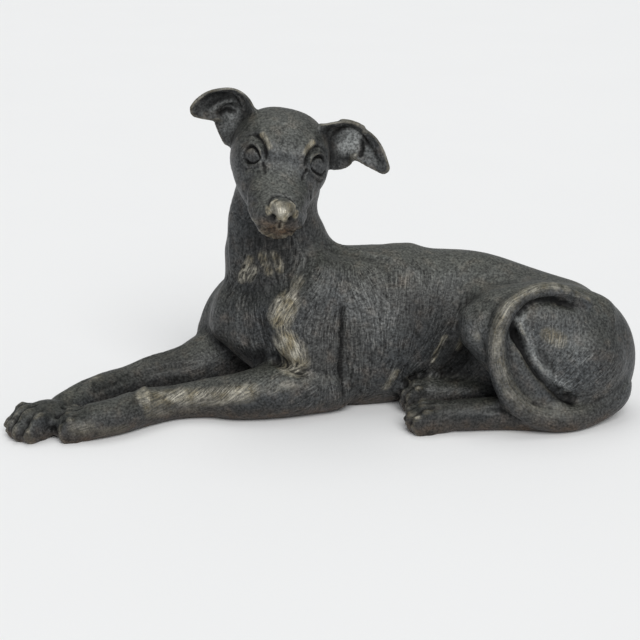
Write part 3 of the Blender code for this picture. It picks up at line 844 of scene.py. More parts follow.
def fused(name, parts, grain, fillet, rounds):
    """The parts as one skin, with a fillet in every hollow, then smoothed."""
    obj = new_object(name, parts)
    for offset in (fillet, -fillet):
        if fillet:
            remesh = obj.modifiers.new("fuse", "REMESH")
            remesh.mode = "VOXEL"
            remesh.voxel_size = grain * SHARE
            swell = obj.modifiers.new("swell", "DISPLACE")
            swell.mid_level = 0
            swell.strength = offset * SHARE
    remesh = obj.modifiers.new("even", "REMESH")
    remesh.mode = "VOXEL"
    remesh.voxel_size = grain * SHARE
    smooth = obj.modifiers.new("smooth", "SMOOTH")
    smooth.factor = 0.5
    smooth.iterations = rounds
    return applied(obj)


class Skin:
    """The hound's skin while it is being tooled. Places are in shares."""

    def __init__(self, bm):
        self.bm = bm
        bm.verts.ensure_lookup_table()
        self.refresh()

    def refresh(self):
        """Looks up where the skin is now, before the next round of tooling."""
        self.bm.normal_update()
        self.tree = KDTree(len(self.bm.verts))
        for vert in self.bm.verts:
            self.tree.insert(vert.co / SHARE, vert.index)
        self.tree.balance()
        self.lift = np.zeros(len(self.bm.verts))

    def stroke(self, path, width, lift):
        """A groove, or a ridge where lift is above 0, along a path laid onto the skin.

        It fades out over the first and last fifth of the path.
        """
        rows = smooth_stations(path, 10)
        best = {}
        for step, place in enumerate(rows):
            along = step / (len(rows) - 1)
            fade = math.sin(math.pi / 2 * min(1, 5 * along + 0.1, 5 * (1 - along) + 0.1))
            on_skin = self.tree.find(Vector(place[:3]))[0]
            for _, index, gap in self.tree.find_range(on_skin, width):
                pull = fade * (1 - (gap / width) ** 2) ** 2
                best[index] = max(pull, best.get(index, 0))
        for index, pull in best.items():
            self.lift[index] += lift * pull

    def dab(self, place, width, lift):
        """A swelling, or a hollow where lift is below 0, round one place."""
        on_skin = self.tree.find(Vector(place))[0]
        for _, index, gap in self.tree.find_range(on_skin, width):
            self.lift[index] += lift * (1 - (gap / width) ** 2) ** 2

    def work(self):
        """Moves the skin by what the strokes and dabs add up to."""
        for vert, lift in zip(self.bm.verts, self.lift * SHARE):
            if lift:
                vert.co += vert.normal * float(lift)
        self.refresh()


def on_head(path, side):
    """A path in the head's frame, for its left (1) or right (-1) side, in shares."""
    return [head_point(f, side * l, u) for f, l, u in path]


def eyeballs():
    """Two balls that stand out of their sockets."""
    return [head_mass(place, (EYE_BALL, EYE_BALL, EYE_BALL)) for place in EYES]


def tool_sockets(skin):
    """A shallow hollow for each eyeball."""
    for place in EYES:
        skin.dab(head_point(*place), 22, -5)
    skin.work()


def tool_toes(skin):
    """The clefts between the toes of each foot."""
    for wrist, tip, half, height, low in FEET:
        start, end = Vector((*wrist, 0)), Vector((*tip, 0))
        along = end - start
        across = Vector((-along.y, along.x, 0)).normalized()
        for k in (-0.62, 0, 0.62):
            path = []
            for reach, level in ((0.42, 1.0), (0.66, 1.0), (0.86, 0.75), (1.02, 0.3)):
                place = start + along * reach + across * half * k * (0.8 + 0.3 * reach)
                place.z = level * (height if reach < 0.8 else low)
                path.append(tuple(place))
            skin.stroke(path, 5.5, -3.8)
    skin.work()


def tool_body(skin):
    """Creases behind the shoulder and at the elbow, breastbone, flank and tail."""
    skin.stroke(SHOULDER_REAR, 12, -3.5)
    skin.stroke(ELBOW_CREASE, 12, -6)
    skin.stroke(SHOULDER_RIDGE, 26, 4)
    skin.stroke(STERNUM_RIDGE, 16, 4)
    skin.stroke(FLANK_EDGE, 20, -4)
    skin.stroke(TAIL_CREASE, 9, -12)
    skin.stroke(TAIL_UNDER, 7, -6)
    skin.work()


def flat_foot(bm):
    """Cuts the skin flat at the ground and closes it there."""
    geometry = bm.verts[:] + bm.edges[:] + bm.faces[:]
    cut = bmesh.ops.bisect_plane(
        bm, geom=geometry, dist=1e-5, plane_co=(0, 0, 0), plane_no=(0, 0, 1), clear_inner=True
    )
    rim = [item for item in cut["geom_cut"] if isinstance(item, bmesh.types.BMEdge)]
    bmesh.ops.holes_fill(bm, edges=rim, sides=0)
    bmesh.ops.triangulate(bm, faces=bm.faces)
    drop_crumbs(bm)
    bmesh.ops.recalc_face_normals(bm, faces=bm.faces)


def drop_crumbs(bm):
    """Takes away the slivers that the cut leaves beside the hound."""
    waiting = set(bm.verts)
    pieces = []
    while waiting:
        piece = {waiting.pop()}
        front = list(piece)
        while front:
            ends = {edge.other_vert(vert) for vert in front for edge in vert.link_edges}
            front = list(ends & waiting)
            waiting -= ends
            piece |= ends
        pieces.append(piece)
    pieces.sort(key=len)
    for piece in pieces[:-1]:
        bmesh.ops.delete(bm, geom=list(piece), context="VERTS")


def refine(bm, centre, radius):
    """Splits the faces round a place, so that finer lines can be cut there."""
    centre, radius = share(centre), radius * SHARE
    for edge in bm.edges:
        edge.tag = False
    for face in bm.faces:
        if (face.calc_center_median() - centre).length < radius:
            for edge in face.edges:
                edge.tag = True
    edges = [edge for edge in bm.edges if edge.tag]
    bmesh.ops.subdivide_edges(bm, edges=edges, cuts=1, use_grid_fill=True)
    verts = [vert for vert in bm.verts if (vert.co - centre).length < radius]
    axes = {"use_axis_x": True, "use_axis_y": True, "use_axis_z": True}
    for _ in range(2):
        bmesh.ops.smooth_vert(bm, verts=verts, factor=0.5, **axes)


def tool_lines(skin, lines):
    """Creases and ridges from a table of path, width and lift."""
    for path, width, lift in lines:
        skin.stroke(path, width, lift)
    skin.work()


def tool_face(skin):
    """Lids, brows, cheeks, lips, nose and the forehead's furrow."""
    for side in (1, -1):
        for path, width, lift in FACE_LINES + LIDS[side]:
            skin.stroke(on_head(path, side), width, lift)
        skin.dab(on_head((NOSTRIL,), side)[0], *NOSTRIL_CUT)
    for path, width, lift in MIDDLE_LINES:
        skin.stroke(on_head(path, 1), width, lift)
    skin.work()


def tool_claws(skin, seed):
    """A knuckle on each toe, a claw before it, and the lumps of the worn casting."""
    dice = np.random.default_rng(seed)
    for wrist, tip, half, height, low in FEET:
        start, end = Vector((*wrist, 0)), Vector((*tip, 0))
        along = end - start
        across = Vector((-along.y, along.x, 0)).normalized()
        for k in (-0.9, -0.32, 0.32, 0.9):
            for reach, level, width, lift in (
                (0.62, height, 9, 1.2),
                (0.80, (height + low) / 2, 5, -1.4),
                (0.97, low * 0.9, 7, 1.0),
                (1.10, low * 0.4, 4.5, 1.8),
            ):
                place = start + along * reach + across * half * k * (0.8 + 0.3 * reach)
                place.z = level
                skin.dab(tuple(place), width, lift)
        for _ in range(FOOT_LUMPS):
            place = start + along * dice.uniform(0.1, 1.1) + across * half * dice.uniform(-1, 1)
            place.z = dice.uniform(0.3, 1.0) * height
            skin.dab(tuple(place), dice.uniform(5, 10), dice.uniform(-1.7, 1.3))
    skin.work()


def fur_samples():
    """Every row of the fur tables in the hound's shares: places, directions and depths."""
    rows = list(OWN_FUR)
    for side in (1, -1):
        turned = np.array((1, side, 1))
        for place, way, depth in BODY_FUR:
            rows.append((turned * place, turned * way, depth))
        for place, way, depth in HEAD_FUR:
            rows.append((head_point(*turned * place), head_direction(*turned * way), depth))
    for stations, depth in ((TAIL, 0.5), (LEFT_EAR, 0.15), (RIGHT_EAR, 0.15)):
        path = np.array([row[:3] for row in stations], float)
        for place, way in zip(path, np.gradient(path, axis=0)):
            rows.append((place, way, depth))
    places, ways, depths = (np.array(column, float) for column in zip(*rows))
    return places, ways / np.linalg.norm(ways, axis=1)[:, None], depths


def lay_of_fur(places, normals):
    """Direction and depth of the fur at each place, smooth from sample to sample."""
    spots, ways, depths = fur_samples()
    flow, depth = np.empty_like(places), np.empty(len(places))
    for first in range(0, len(places), 20000):
        part = slice(first, first + 20000)
        gap = ((places[part, None] - spots[None]) ** 2).sum(axis=2)
        pull = 1 / (gap + 60) ** 3
        pull /= pull.sum(axis=1)[:, None]
        flow[part] = pull @ ways
        depth[part] = pull @ depths
    flow -= normals * (flow * normals).sum(axis=1)[:, None]
    return flow / (np.linalg.norm(flow, axis=1)[:, None] + 1e-9), depth


def spots_along(paths, head_paths=()):
    """Spots close together along paths, each a path, a radius and a strength.

    The head's paths are in its own frame and stand for both sides.
    """
    rows = list(paths)
    for path, radius, strength in head_paths:
        rows += [(on_head(path, side), radius, strength) for side in (1, -1)]
    spots = []
    for path, radius, strength in rows:
        steps = smooth_stations(path, 4) if len(path) > 1 else path
        spots += [(step, radius, strength) for step in steps]
    return spots


def lid_spots(raised, radius, strength):
    """Spots along the lids, or along the grooves between them and the eyeballs."""
    paths = []
    for side, rows in LIDS.items():
        for path, _, lift in rows:
            if (lift > 0) == raised:
                paths.append((on_head(path, side), radius, strength))
    return spots_along(paths)


def near_spots(places, spots, edge):
    """How near each place is to the strongest of some spots: each a place, radius and strength."""
    nearness = np.zeros(len(places))
    for spot, radius, strength in spots:
        gap = np.linalg.norm(places - np.array(spot), axis=1)
        nearness = np.maximum(nearness, strength * np.clip(edge - edge * gap / radius, 0, 1))
    return nearness


def bare_skin(places):
    """How bare of fur each place is: 1 on eyes, nose and inside the ears."""
    spots = [(head_point(*NOSE[0]), 22, 1)]
    spots += [(head_point(*place), 17, 1) for place in EYES]
    return near_spots(places, spots + list(EAR_HOLLOWS), 1.6)


def cut_strokes(skin, count, cut, seed):
    """Cuts the fur with a graver: short grooves and a few raised locks that run with it."""
    places = np.array([vert.co for vert in skin.bm.verts]) / SHARE
    normals = np.array([vert.normal for vert in skin.bm.verts])
    flow, depth = lay_of_fur(places, normals)
    depth *= 1 - bare_skin(places)
    dice = np.random.default_rng(seed)
    ends = np.array([[end.index for end in edge.verts] for edge in skin.bm.edges])
    gaps = np.linalg.norm(places[ends[:, 0]] - places[ends[:, 1]], axis=1)
    spacing = np.bincount(ends.ravel(), weights=np.repeat(gaps, 2)) / np.bincount(ends.ravel())
    odds = depth**1.3 * spacing**2 * (places[:, 2] > 2)
    starts = dice.choice(len(places), count, p=odds / odds.sum())
    for start in starts:
        place = Vector(places[start])
        length = int(dice.integers(4, 10))
        width = dice.uniform(2.2, 3.2)
        lift = cut * depth[start] * (0.7 if dice.random() < RAISED_LOCKS else -1.0)
        wobble = dice.normal(0, 0.25)
        best = {}
        for step in range(length):
            index = skin.tree.find(place)[1]
            way = Vector(flow[index])
            side = way.cross(Vector(normals[index]))
            fade = math.sin(math.pi * (step + 0.5) / length) ** 0.6
            for _, near, gap in skin.tree.find_range(place, width):
                pull = fade * (1 - (gap / width) ** 2) ** 2
                best[near] = max(pull, best.get(near, 0))
            place = skin.tree.find(place + (way + side * wobble) * GRAVER_STEP)[0]
        for near, pull in best.items():
            skin.lift[near] += lift * pull
    skin.lift = np.clip(skin.lift, -2.2 * cut, 1.8 * cut)
    skin.work()


def neighbours_mean(values, edges, rounds):
    """Values averaged with their neighbours' along the edges, a few rounds over."""
    count = np.bincount(edges.ravel(), minlength=len(values))[:, None] + 1
    for _ in range(rounds):
        total = values.copy()
        for axis in range(values.shape[1]):
            for here, there in ((0, 1), (1, 0)):
                total[:, axis] += np.bincount(
                    edges[:, here], weights=values[edges[:, there], axis], minlength=len(values)
                )
        values = total / count
    return values


def read_mesh(mesh):
    """Places in shares, normals and edges of a mesh, as arrays."""
    places = np.empty(len(mesh.vertices) * 3, dtype=np.float32)
    mesh.vertices.foreach_get("co", places)
    normals = np.empty(len(mesh.vertices) * 3, dtype=np.float32)
    mesh.vertex_normals.foreach_get("vector", normals)
    edges = np.empty(len(mesh.edges) * 2, dtype=np.int32)
    mesh.edges.foreach_get("vertices", edges)
    return places.reshape(-1, 3).astype(float) / SHARE, normals.reshape(-1, 3), edges.reshape(-1, 2)


def write_values(mesh, name, values):
    """Stores a number, or a vector, for each of the mesh's points."""
    if values.ndim == 1:
        mesh.attributes.new(name, "FLOAT", "POINT").data.foreach_set("value", values.astype("f4"))
    else:
        layer = mesh.attributes.new(name, "FLOAT_VECTOR", "POINT")
        layer.data.foreach_set("vector", values.astype("f4").ravel())


def rubbed_places(places):
    """How much hands have rubbed each place, from the tables."""
    spots = spots_along(RUBS, HEAD_RUBS)
    for step, (x, y, z, radius) in enumerate(smooth_stations([row[:4] for row in TAIL], 3)[3:]):
        strength = TAIL_RUB * min(1, 0.1 + step / 20)
        spots.append(((x, y - 0.6 * radius, z + 0.7 * radius), 1.1 * radius, strength))
    return near_spots(places, spots, 1.5)


def mark_wear_shade_and_highlights(mesh):
    """Stores on the mesh where its bronze is rubbed, brown or bare of fur, and where painted shade,
    painted highlights and a painted sky reflection on upward faces go.
    """
    places, normals, edges = read_mesh(mesh)
    flow, depth = lay_of_fur(places, normals)
    # how far each point stands out of its surroundings; the face's finer skin takes more rounds
    near = ((places - neighbours_mean(places, edges, 4)) * normals).sum(axis=1)
    finer = ((places - neighbours_mean(places, edges, 14)) * normals).sum(axis=1)
    face = near_spots(places, [(head_point(*FACE_MIDDLE), FACE_REACH, 1)], 6)
    near += face * (finer - near)
    wide = ((places - neighbours_mean(places, edges, 30)) * normals).sum(axis=1)
    soft = neighbours_mean(normals.astype(float), edges, 12)
    bare = bare_skin(places)
    ridge = np.clip(near / 0.35, -1, 1)
    rubbed = rubbed_places(places) * (0.75 + 0.35 * ridge)
    rubbed = np.maximum(rubbed, np.clip(wide / 3.0 - 0.45, 0, 0.25))
    write_values(mesh, "rubbed", rubbed)
    # Concavity: the bronze is darkened there as painted shade, partly the dark patina of the creases.
    write_values(mesh, "hollow", np.clip(-near / 0.5, 0, 1) * 0.6 + np.clip(-wide / 2.5, 0, 1) * 0.6)
    # Painted highlights and reflections, with thin pale patina on some ridges and the lids.
    highlight_and_thin_patina_spots = spots_along(HIGHLIGHTS_AND_THIN_PATINA, HEAD_HIGHLIGHTS_AND_THIN_PATINA) + lid_spots(True, 3, 0.35)
    pale = near_spots(places, highlight_and_thin_patina_spots, 1.3)
    # Painted shade in gaps, creases and undersides, darker patina in the grooves, and painted shade
    # towards the ground.
    shade_and_dark_spots = spots_along(SHADES_AND_DARK_PATINA, HEAD_SHADES_AND_DARK_PATINA) + lid_spots(False, 3.8, 1.0)
    shade_and_dark_patina = near_spots(places, shade_and_dark_spots, 1.3)
    shade_and_dark_patina = np.maximum(shade_and_dark_patina, LOW_SHADE * np.clip(1 - places[:, 2] / 60, 0, 1))
    shade_and_dark_patina = np.clip(shade_and_dark_patina, 0, 1)
    for name, values in (("pale", pale), ("shade_and_dark_patina", shade_and_dark_patina)):
        write_values(mesh, name, neighbours_mean(values[:, None], edges, 2)[:, 0])
    # Upward faces, which the bronze paints lighter and greener as a sky reflection.
    write_values(mesh, "upward", np.clip(soft[:, 2] * 1.4 - 0.3, 0, 1))
    low = np.clip(1 - places[:, 2] / 26, 0, 1) * np.clip(0.7 - soft[:, 2], 0, 1)
    chin = near_spots(places, [(head_point(*CHIN_BROWN[0]), CHIN_BROWN[1], 1)], 2)
    write_values(mesh, "brown", np.maximum(0.8 * low, chin))
    write_values(mesh, "bare", bare)
    write_values(mesh, "fur_way", flow)
    write_values(mesh, "fur_depth", depth * (1 - bare))


class Net:
    """A node tree while it is being wired."""

    def __init__(self, tree):
        self.tree = tree

    def add(self, kind, settings=(), **sockets):
        """A node, its settings, and its inputs by name or place: values or other sockets."""
        node = self.tree.nodes.new(kind)
        for name, value in dict(settings).items():
            setattr(node, name, value)
        for key, value in sockets.items():
            by_place = key[0] == "_"
            socket = node.inputs[int(key[1:]) if by_place else key.replace("_", " ")]
            if isinstance(value, bpy.types.NodeSocket):
                self.tree.links.new(value, socket)
            else:
                socket.default_value = value
        return node

    def sum(self, a, b, operation="ADD"):
        """Two numbers added, or joined by another operation."""
        return self.add("ShaderNodeMath", {"operation": operation}, _0=a, _1=b).outputs[0]

    def ramp(self, value, low, high, out_low=0.0, out_high=1.0):
        """A value carried from one range to another and held there."""
        return self.add(
            "ShaderNodeMapRange", {}, _0=value, _1=low, _2=high, _3=out_low, _4=out_high
        ).outputs[0]

    def mixed(self, amount, a, b, blend="MIX"):
        """Two colours mixed."""
        node = self.add("ShaderNodeMix", {"data_type": "RGBA", "blend_type": blend})
        for socket, value in ((node.inputs[0], amount), (node.inputs[6], a), (node.inputs[7], b)):
            if isinstance(value, bpy.types.NodeSocket):
                self.tree.links.new(value, socket)
            elif socket.type == "RGBA":
                socket.default_value = (*value, 1)
            else:
                socket.default_value = value
        return node.outputs[2]

    def noise(self, place, scale, detail=2.0, seed=0.0):
        """Soft seeded noise from 0 to 1."""
        return self.add(
            "ShaderNodeTexNoise",
            {"noise_dimensions": "4D"},
            Vector=place,
            W=seed,
            Scale=scale,
            Detail=detail,
        ).outputs[0]

    def strokes(self, place, way, scale, reach, taps, seed):
        """Noise drawn out along a direction, which makes strokes."""
        total = None
        for k in range(taps):
            step = reach * (2 * k / (taps - 1) - 1)
            moved = self.add(
                "ShaderNodeVectorMath",
                {"operation": "MULTIPLY_ADD"},
                _0=way,
                _1=(step, step, step),
                _2=place,
            ).outputs[0]
            tap = self.noise(moved, scale, 0.0, seed)
            total = tap if total is None else self.sum(total, tap)
        return self.ramp(self.sum(total, 1 / taps, "MULTIPLY"), 0.36, 0.64)


def fur_tree():
    """Geometry Nodes that raise the fur's strokes on a skin along its stored direction."""
    tree = bpy.data.node_groups.new("raise_fur", "GeometryNodeTree")
    tree.interface.new_socket("Geometry", in_out="OUTPUT", socket_type="NodeSocketGeometry")
    for name, kind in (
        ("Geometry", "NodeSocketGeometry"),
        ("Depth", "NodeSocketFloat"),
        ("Width", "NodeSocketFloat"),
        ("Seed", "NodeSocketFloat"),
        ("Bronze", "NodeSocketMaterial"),
    ):
        tree.interface.new_socket(name, in_out="INPUT", socket_type=kind)
    net = Net(tree)
    given = net.add("NodeGroupInput").outputs
    place = net.add("GeometryNodeInputPosition").outputs[0]
    way = net.add(
        "GeometryNodeInputNamedAttribute", {"data_type": "FLOAT_VECTOR"}, Name="fur_way"
    ).outputs[0]
    depth = net.add("GeometryNodeInputNamedAttribute", {"data_type": "FLOAT"}, Name="fur_depth")
    scale = net.sum(1.0, given["Width"], "DIVIDE")
    strokes = net.strokes(place, way, scale, 0.006, 7, given["Seed"])
    stored = net.add(
        "GeometryNodeStoreNamedAttribute",
        {"data_type": "FLOAT", "domain": "POINT"},
        Geometry=given["Geometry"],
        Name="stroke",
        Value=strokes,
    ).outputs[0]
    height = net.sum(net.sum(strokes, 0.5, "SUBTRACT"), given["Depth"], "MULTIPLY")
    height = net.sum(height, depth.outputs[0], "MULTIPLY")
    normal = net.add("GeometryNodeInputNormal").outputs[0]
    offset = net.add("ShaderNodeVectorMath", {"operation": "SCALE"}, _0=normal, Scale=height)
    raised = net.add("GeometryNodeSetPosition", Geometry=stored, Offset=offset.outputs[0])
    real = net.add("GeometryNodeRealizeInstances", Geometry=raised.outputs[0])
    clad = net.add("GeometryNodeSetMaterial", Geometry=real.outputs[0], Material=given["Bronze"])
    net.add("NodeGroupOutput", Geometry=clad.outputs[0])
    return tree


def set_input(modifier, name, value):
    """Sets a Geometry Nodes modifier's input by the socket's name."""
    for item in modifier.node_group.interface.items_tree:
        if item.item_type == "SOCKET" and item.in_out == "INPUT" and item.name == name:
            modifier[item.identifier] = value
            return
    raise KeyError(name)


def dark_bronze(look):
    """Patinated bronze, brown below and brass where rubbed; painted shade darkens its creases, gaps and
    undersides, a painted sky reflection makes it lighter and greener above, and painted highlights pale
    it.
    """
    material = bpy.data.materials.new("dark_rubbed_bronze")
    material.use_nodes = True
    material.node_tree.nodes.clear()
    net = Net(material.node_tree)
    place = net.add("ShaderNodeTexCoord").outputs["Object"]

    def stored(name, output="Fac"):
        return net.add("ShaderNodeAttribute", {"attribute_name": name}).outputs[output]

    way = stored("fur_way", "Vector")
    hairs = net.strokes(place, way, 1 / look.hair_width, 3.2 * look.hair_width, 7, 3.0)
    patch = net.noise(place, 34, 3, 9.0)
    furry = net.ramp(stored("fur_depth"), 0.25, 0.9, 0.1, 1.0)
    furry = net.sum(furry, net.ramp(patch, 0.36, 0.6, 0.25, 1.0), "MULTIPLY")
    hollow, rubbed, bare = stored("hollow"), stored("rubbed"), stored("bare")
    cloud = net.noise(place, 9, 3, 1.0)
    mottle = net.noise(place, 60, 4, 2.0)
    speck = net.noise(place, 420, 2, 5.0)

    # patina: cool in clouds, brown below; lighter and greener on upward faces, a painted sky reflection
    # with a green patina tint; pale where painted highlights and reflections lie, with thin patina on
    # some ridges
    colour = net.mixed(net.ramp(cloud, 0.35, 0.65), tuple(look.patina), tuple(look.patina_blue))
    green = net.sum(stored("upward"), net.ramp(cloud, 0.3, 0.7, 0.5, 1.0), "MULTIPLY")
    colour = net.mixed(green, colour, tuple(look.sky_sheen_green))
    brown = net.sum(stored("brown"), net.ramp(mottle, 0.35, 0.65, 0.35, 1.0), "MULTIPLY")
    colour = net.mixed(brown, colour, tuple(look.brown))
    colour = net.mixed(net.ramp(mottle, 0.5, 0.75, 0.0, 0.25), colour, tuple(look.brown))
    colour = net.mixed(stored("pale"), colour, tuple(look.highlight_and_thin_patina))
    # hairs, grain of the casting and soft mottling
    shade = net.ramp(hairs, 0.15, 0.85, 0.4, 1.75)
    colour = net.mixed(furry, colour, shade, "MULTIPLY")
    grit = net.noise(place, 330, 3, 6.0)
    colour = net.mixed(0.9, colour, net.ramp(grit, 0.36, 0.64, 0.42, 1.75), "MULTIPLY")
    colour = net.mixed(0.8, colour, net.ramp(mottle, 0.3, 0.7, 0.7, 1.4), "MULTIPLY")
    lit = net.sum(net.ramp(hairs, 0.65, 1.0, 0.0, 0.4), furry, "MULTIPLY")
    colour = net.mixed(lit, colour, tuple(look.worn))
    # brass where hands have rubbed, most on the raised hairs
    brass = net.mixed(net.ramp(mottle, 0.4, 0.6), tuple(look.brass), tuple(look.pale_brass))
    tint = net.sum(rubbed, net.ramp(mottle, 0.3, 0.7, 0.15, 0.45), "MULTIPLY")
    lines = net.sum(net.ramp(hairs, 0.3, 0.8), net.sum(bare, 0.7, "MULTIPLY"), "MAXIMUM")
    streak = net.sum(net.ramp(rubbed, 0.05, 0.7), lines, "MULTIPLY")
    rub = net.sum(tint, net.sum(streak, net.ramp(mottle, 0.3, 0.6, 0.45, 1.0), "MULTIPLY"))
    colour = net.mixed(net.ramp(rub, 0, 1), colour, brass)
    colour = net.mixed(net.ramp(speck, 0.66, 0.74, 0.0, 0.7), colour, tuple(look.worn))
    # painted shade in gaps, creases and undersides, partly the dark patina that sits in the grooves
    colour = net.mixed(stored("shade_and_dark_patina"), colour, tuple(look.hollows))
    crease_shade = net.sum(hollow, net.ramp(mottle, 0.2, 0.8, 0.7, 1.0), "MULTIPLY")
    crease_shade = net.sum(crease_shade, net.ramp(stored("pale"), 0.2, 0.8, 1.0, 0.1), "MULTIPLY")
    colour = net.mixed(net.ramp(crease_shade, 0.05, 0.8, 0.0, 0.9), colour, tuple(look.hollows))

    rough = net.ramp(mottle, 0.25, 0.75, look.roughness - 0.08, look.roughness + 0.1)
    rough = net.sum(rough, net.ramp(hollow, 0, 1, 0, 0.25))
    rough = net.sum(rough, net.sum(bare, 0.12, "MULTIPLY"), "SUBTRACT")
    metal = net.ramp(rub, 0, 1, 0.25, 0.7)
    height = net.sum(net.sum(hairs, furry, "MULTIPLY"), net.sum(grit, 0.9, "MULTIPLY"))
    height = net.sum(height, net.sum(net.noise(place, 180, 2, 8.0), 0.4, "MULTIPLY"))
    bump = net.add("ShaderNodeBump", {}, Strength=0.9, Distance=look.hair_depth, Height=height)
    surface = net.add(
        "ShaderNodeBsdfPrincipled",
        {},
        Base_Color=colour,
        Metallic=metal,
        Roughness=rough,
        Specular_IOR_Level=look.gloss,
        Normal=bump.outputs[0],
    )
    net.add("ShaderNodeOutputMaterial", Surface=surface.outputs[0])
    return material


def into_box(bm, low, high):
    """Moves and barely scales the hound so that it fills the solid's own box."""
    places = np.array([vert.co for vert in bm.verts])
    lowest, highest = places.min(axis=0), places.max(axis=0)
    factor = (np.array(high) - np.array(low)) / (highest - lowest)
    for vert in bm.verts:
        vert.co = Vector((np.array(vert.co) - lowest) * factor + np.array(low))


class GreyhoundForm(bpy.types.PropertyGroup):
    """How finely the hound is modelled."""

    body_grain: FloatProperty(
        name="Body grain",
        description="Spacing of the points of the soft masses, in shares",
        default=3.6,
        min=2,
    )
    skin_grain: FloatProperty(
        name="Skin grain",
        description="Spacing of the points of the finished skin, in shares",
        default=1.75,
        min=1.2,
    )
    ear_wall: FloatProperty(
        name="Ear wall", description="Thickness of an ear", default=0.0086, unit="LENGTH"
    )
    strokes: IntProperty(
        name="Strokes", description="How many strokes the graver cuts", default=12000, min=0
    )
    stroke_cut: FloatProperty(
        name="Stroke cut", description="Depth of a stroke, in shares", default=0.5, min=0
    )
    fur_depth: FloatProperty(
        name="Fur depth", description="Height of the raised fur", default=0.0005, unit="LENGTH"
    )
    fur_width: FloatProperty(
        name="Fur width", description="Width of a lock of fur", default=0.0045, unit="LENGTH"
    )
    seed: IntProperty(name="Seed", description="Fixes where the strokes fall", default=11)
    triangles: IntProperty(
        name="Triangles", description="How many triangles the hound may have", default=190000
    )


def colour_property(name, description, default):
    return FloatVectorProperty(
        name=name, description=description, default=default, subtype="COLOR", size=3, min=0, max=1
    )


class GreyhoundBronze(bpy.types.PropertyGroup):
    """Colours of the bronze."""

    patina: colour_property("Patina", "The dark bronze itself", (0.050, 0.050, 0.048))
    patina_blue: colour_property("Cool patina", "Where the patina turns", (0.048, 0.052, 0.055))
    # Lighter green on upward faces: a painted sky reflection, tinted as green patina.
    sky_sheen_green: colour_property("Green patina", "On top of the back", (0.059, 0.061, 0.050))
    # Pale colour of the painted highlights and reflections, and of thin patina on some ridges.
    highlight_and_thin_patina: colour_property("Thin patina", "Where it is worn pale", (0.26, 0.27, 0.265))
    brown: colour_property("Brown", "Along the lower edges and the chin", (0.080, 0.050, 0.028))
    # Colour of the painted shade in creases, gaps and undersides, and of the dark patina in the grooves.
    hollows: colour_property("Hollows", "Dirt in the creases", (0.003, 0.003, 0.003))
    worn: colour_property("Worn", "Tops of the hairs", (0.24, 0.235, 0.21))
    brass: colour_property("Rubbed brass", "Where hands have rubbed", (0.38, 0.32, 0.20))
    pale_brass: colour_property("Pale brass", "The same, drier", (0.56, 0.53, 0.44))
    roughness: FloatProperty(
        name="Roughness", description="How dull the patina is", default=0.43, subtype="FACTOR"
    )
    gloss: FloatProperty(
        name="Gloss", description="How strongly the patina shines", default=0.24, subtype="FACTOR"
    )
    hair_width: FloatProperty(
        name="Hair width", description="Width of the finest strokes", default=0.0019, unit="LENGTH"
    )
    hair_depth: FloatProperty(
        name="Hair depth", description="Depth of the finest strokes", default=0.0008, unit="LENGTH"
    )


class GreyhoundStage(bpy.types.PropertyGroup):
    """Floor and light."""

    floor: colour_property("Floor", "Colour of the floor", (0.86, 0.86, 0.855))
    sky: colour_property("Sky", "Colour of the light all round", (0.86, 0.88, 0.90))
    sky_strength: FloatProperty(
        name="Sky strength", description="Strength of the light all round", default=0.5
    )
    front_light: FloatProperty(
        name="Front light", description="Strength of the soft light in front", default=1.9
    )
    top_light: FloatProperty(
        name="Top light", description="Strength of the soft light above", default=0.55
    )
    softness: FloatProperty(
        name="Softness",
        description="How wide the lights are, seen from the hound",
        default=math.radians(40),
        subtype="ANGLE",
    )


class OBJECT_OT_cast_greyhound(bpy.types.Operator):
    """Models the hound, cuts its fur and gives it its bronze"""

    bl_idname = "object.cast_greyhound"
    bl_label = "Cast greyhound"

    def execute(self, context):
        form = context.scene.greyhound_form
        body = fused("body", soft_masses(), form.body_grain, BODY_FILLET, 10)
        leaves = fused("ears", ears(form.ear_wall), EAR_GRAIN, 0, 12)
        grain = form.skin_grain
        hound = fused("hound", [body, skull(), leaves, *limbs()], grain, LIMB_FILLET, 6)
        skin = Skin(hound)
        tool_body(skin)
        tool_toes(skin)
        tool_sockets(skin)
        hound = fused("hound", [hound, *eyeballs()], grain, 0, 2)
        skin = Skin(hound)
        tool_lines(skin, BODY_LINES)
        tool_lines(skin, EAR_LINES)
        tool_claws(skin, form.seed)
        refine(hound, head_point(*FACE_MIDDLE), FACE_REACH)
        skin = Skin(hound)
        tool_face(skin)
        cut_strokes(skin, form.strokes, form.stroke_cut, form.seed)
        obj = new_object("greyhound_bronze", [hound])
        mark_wear_shade_and_highlights(obj.data)
        bronze = dark_bronze(context.scene.greyhound_bronze)
        fur = obj.modifiers.new("fur", "NODES")
        fur.node_group = fur_tree()
        set_input(fur, "Depth", form.fur_depth)
        set_input(fur, "Width", form.fur_width)
        set_input(fur, "Seed", float(form.seed))
        set_input(fur, "Bronze", bronze)
        thin = obj.modifiers.new("thin", "DECIMATE")
        thin.ratio = form.triangles / (2 * len(obj.data.polygons))
        hound = applied(obj)
        flat_foot(hound)
        into_box(hound, *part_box("greyhound"))
        obj = new_object("greyhound_bronze", [hound])
        obj.data.materials.clear()
        obj.data.materials.append(bronze)
        obj.data.polygons.foreach_set("use_smooth", [True] * len(obj.data.polygons))
        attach(obj, "root")
        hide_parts("greyhound")
        return {"FINISHED"}


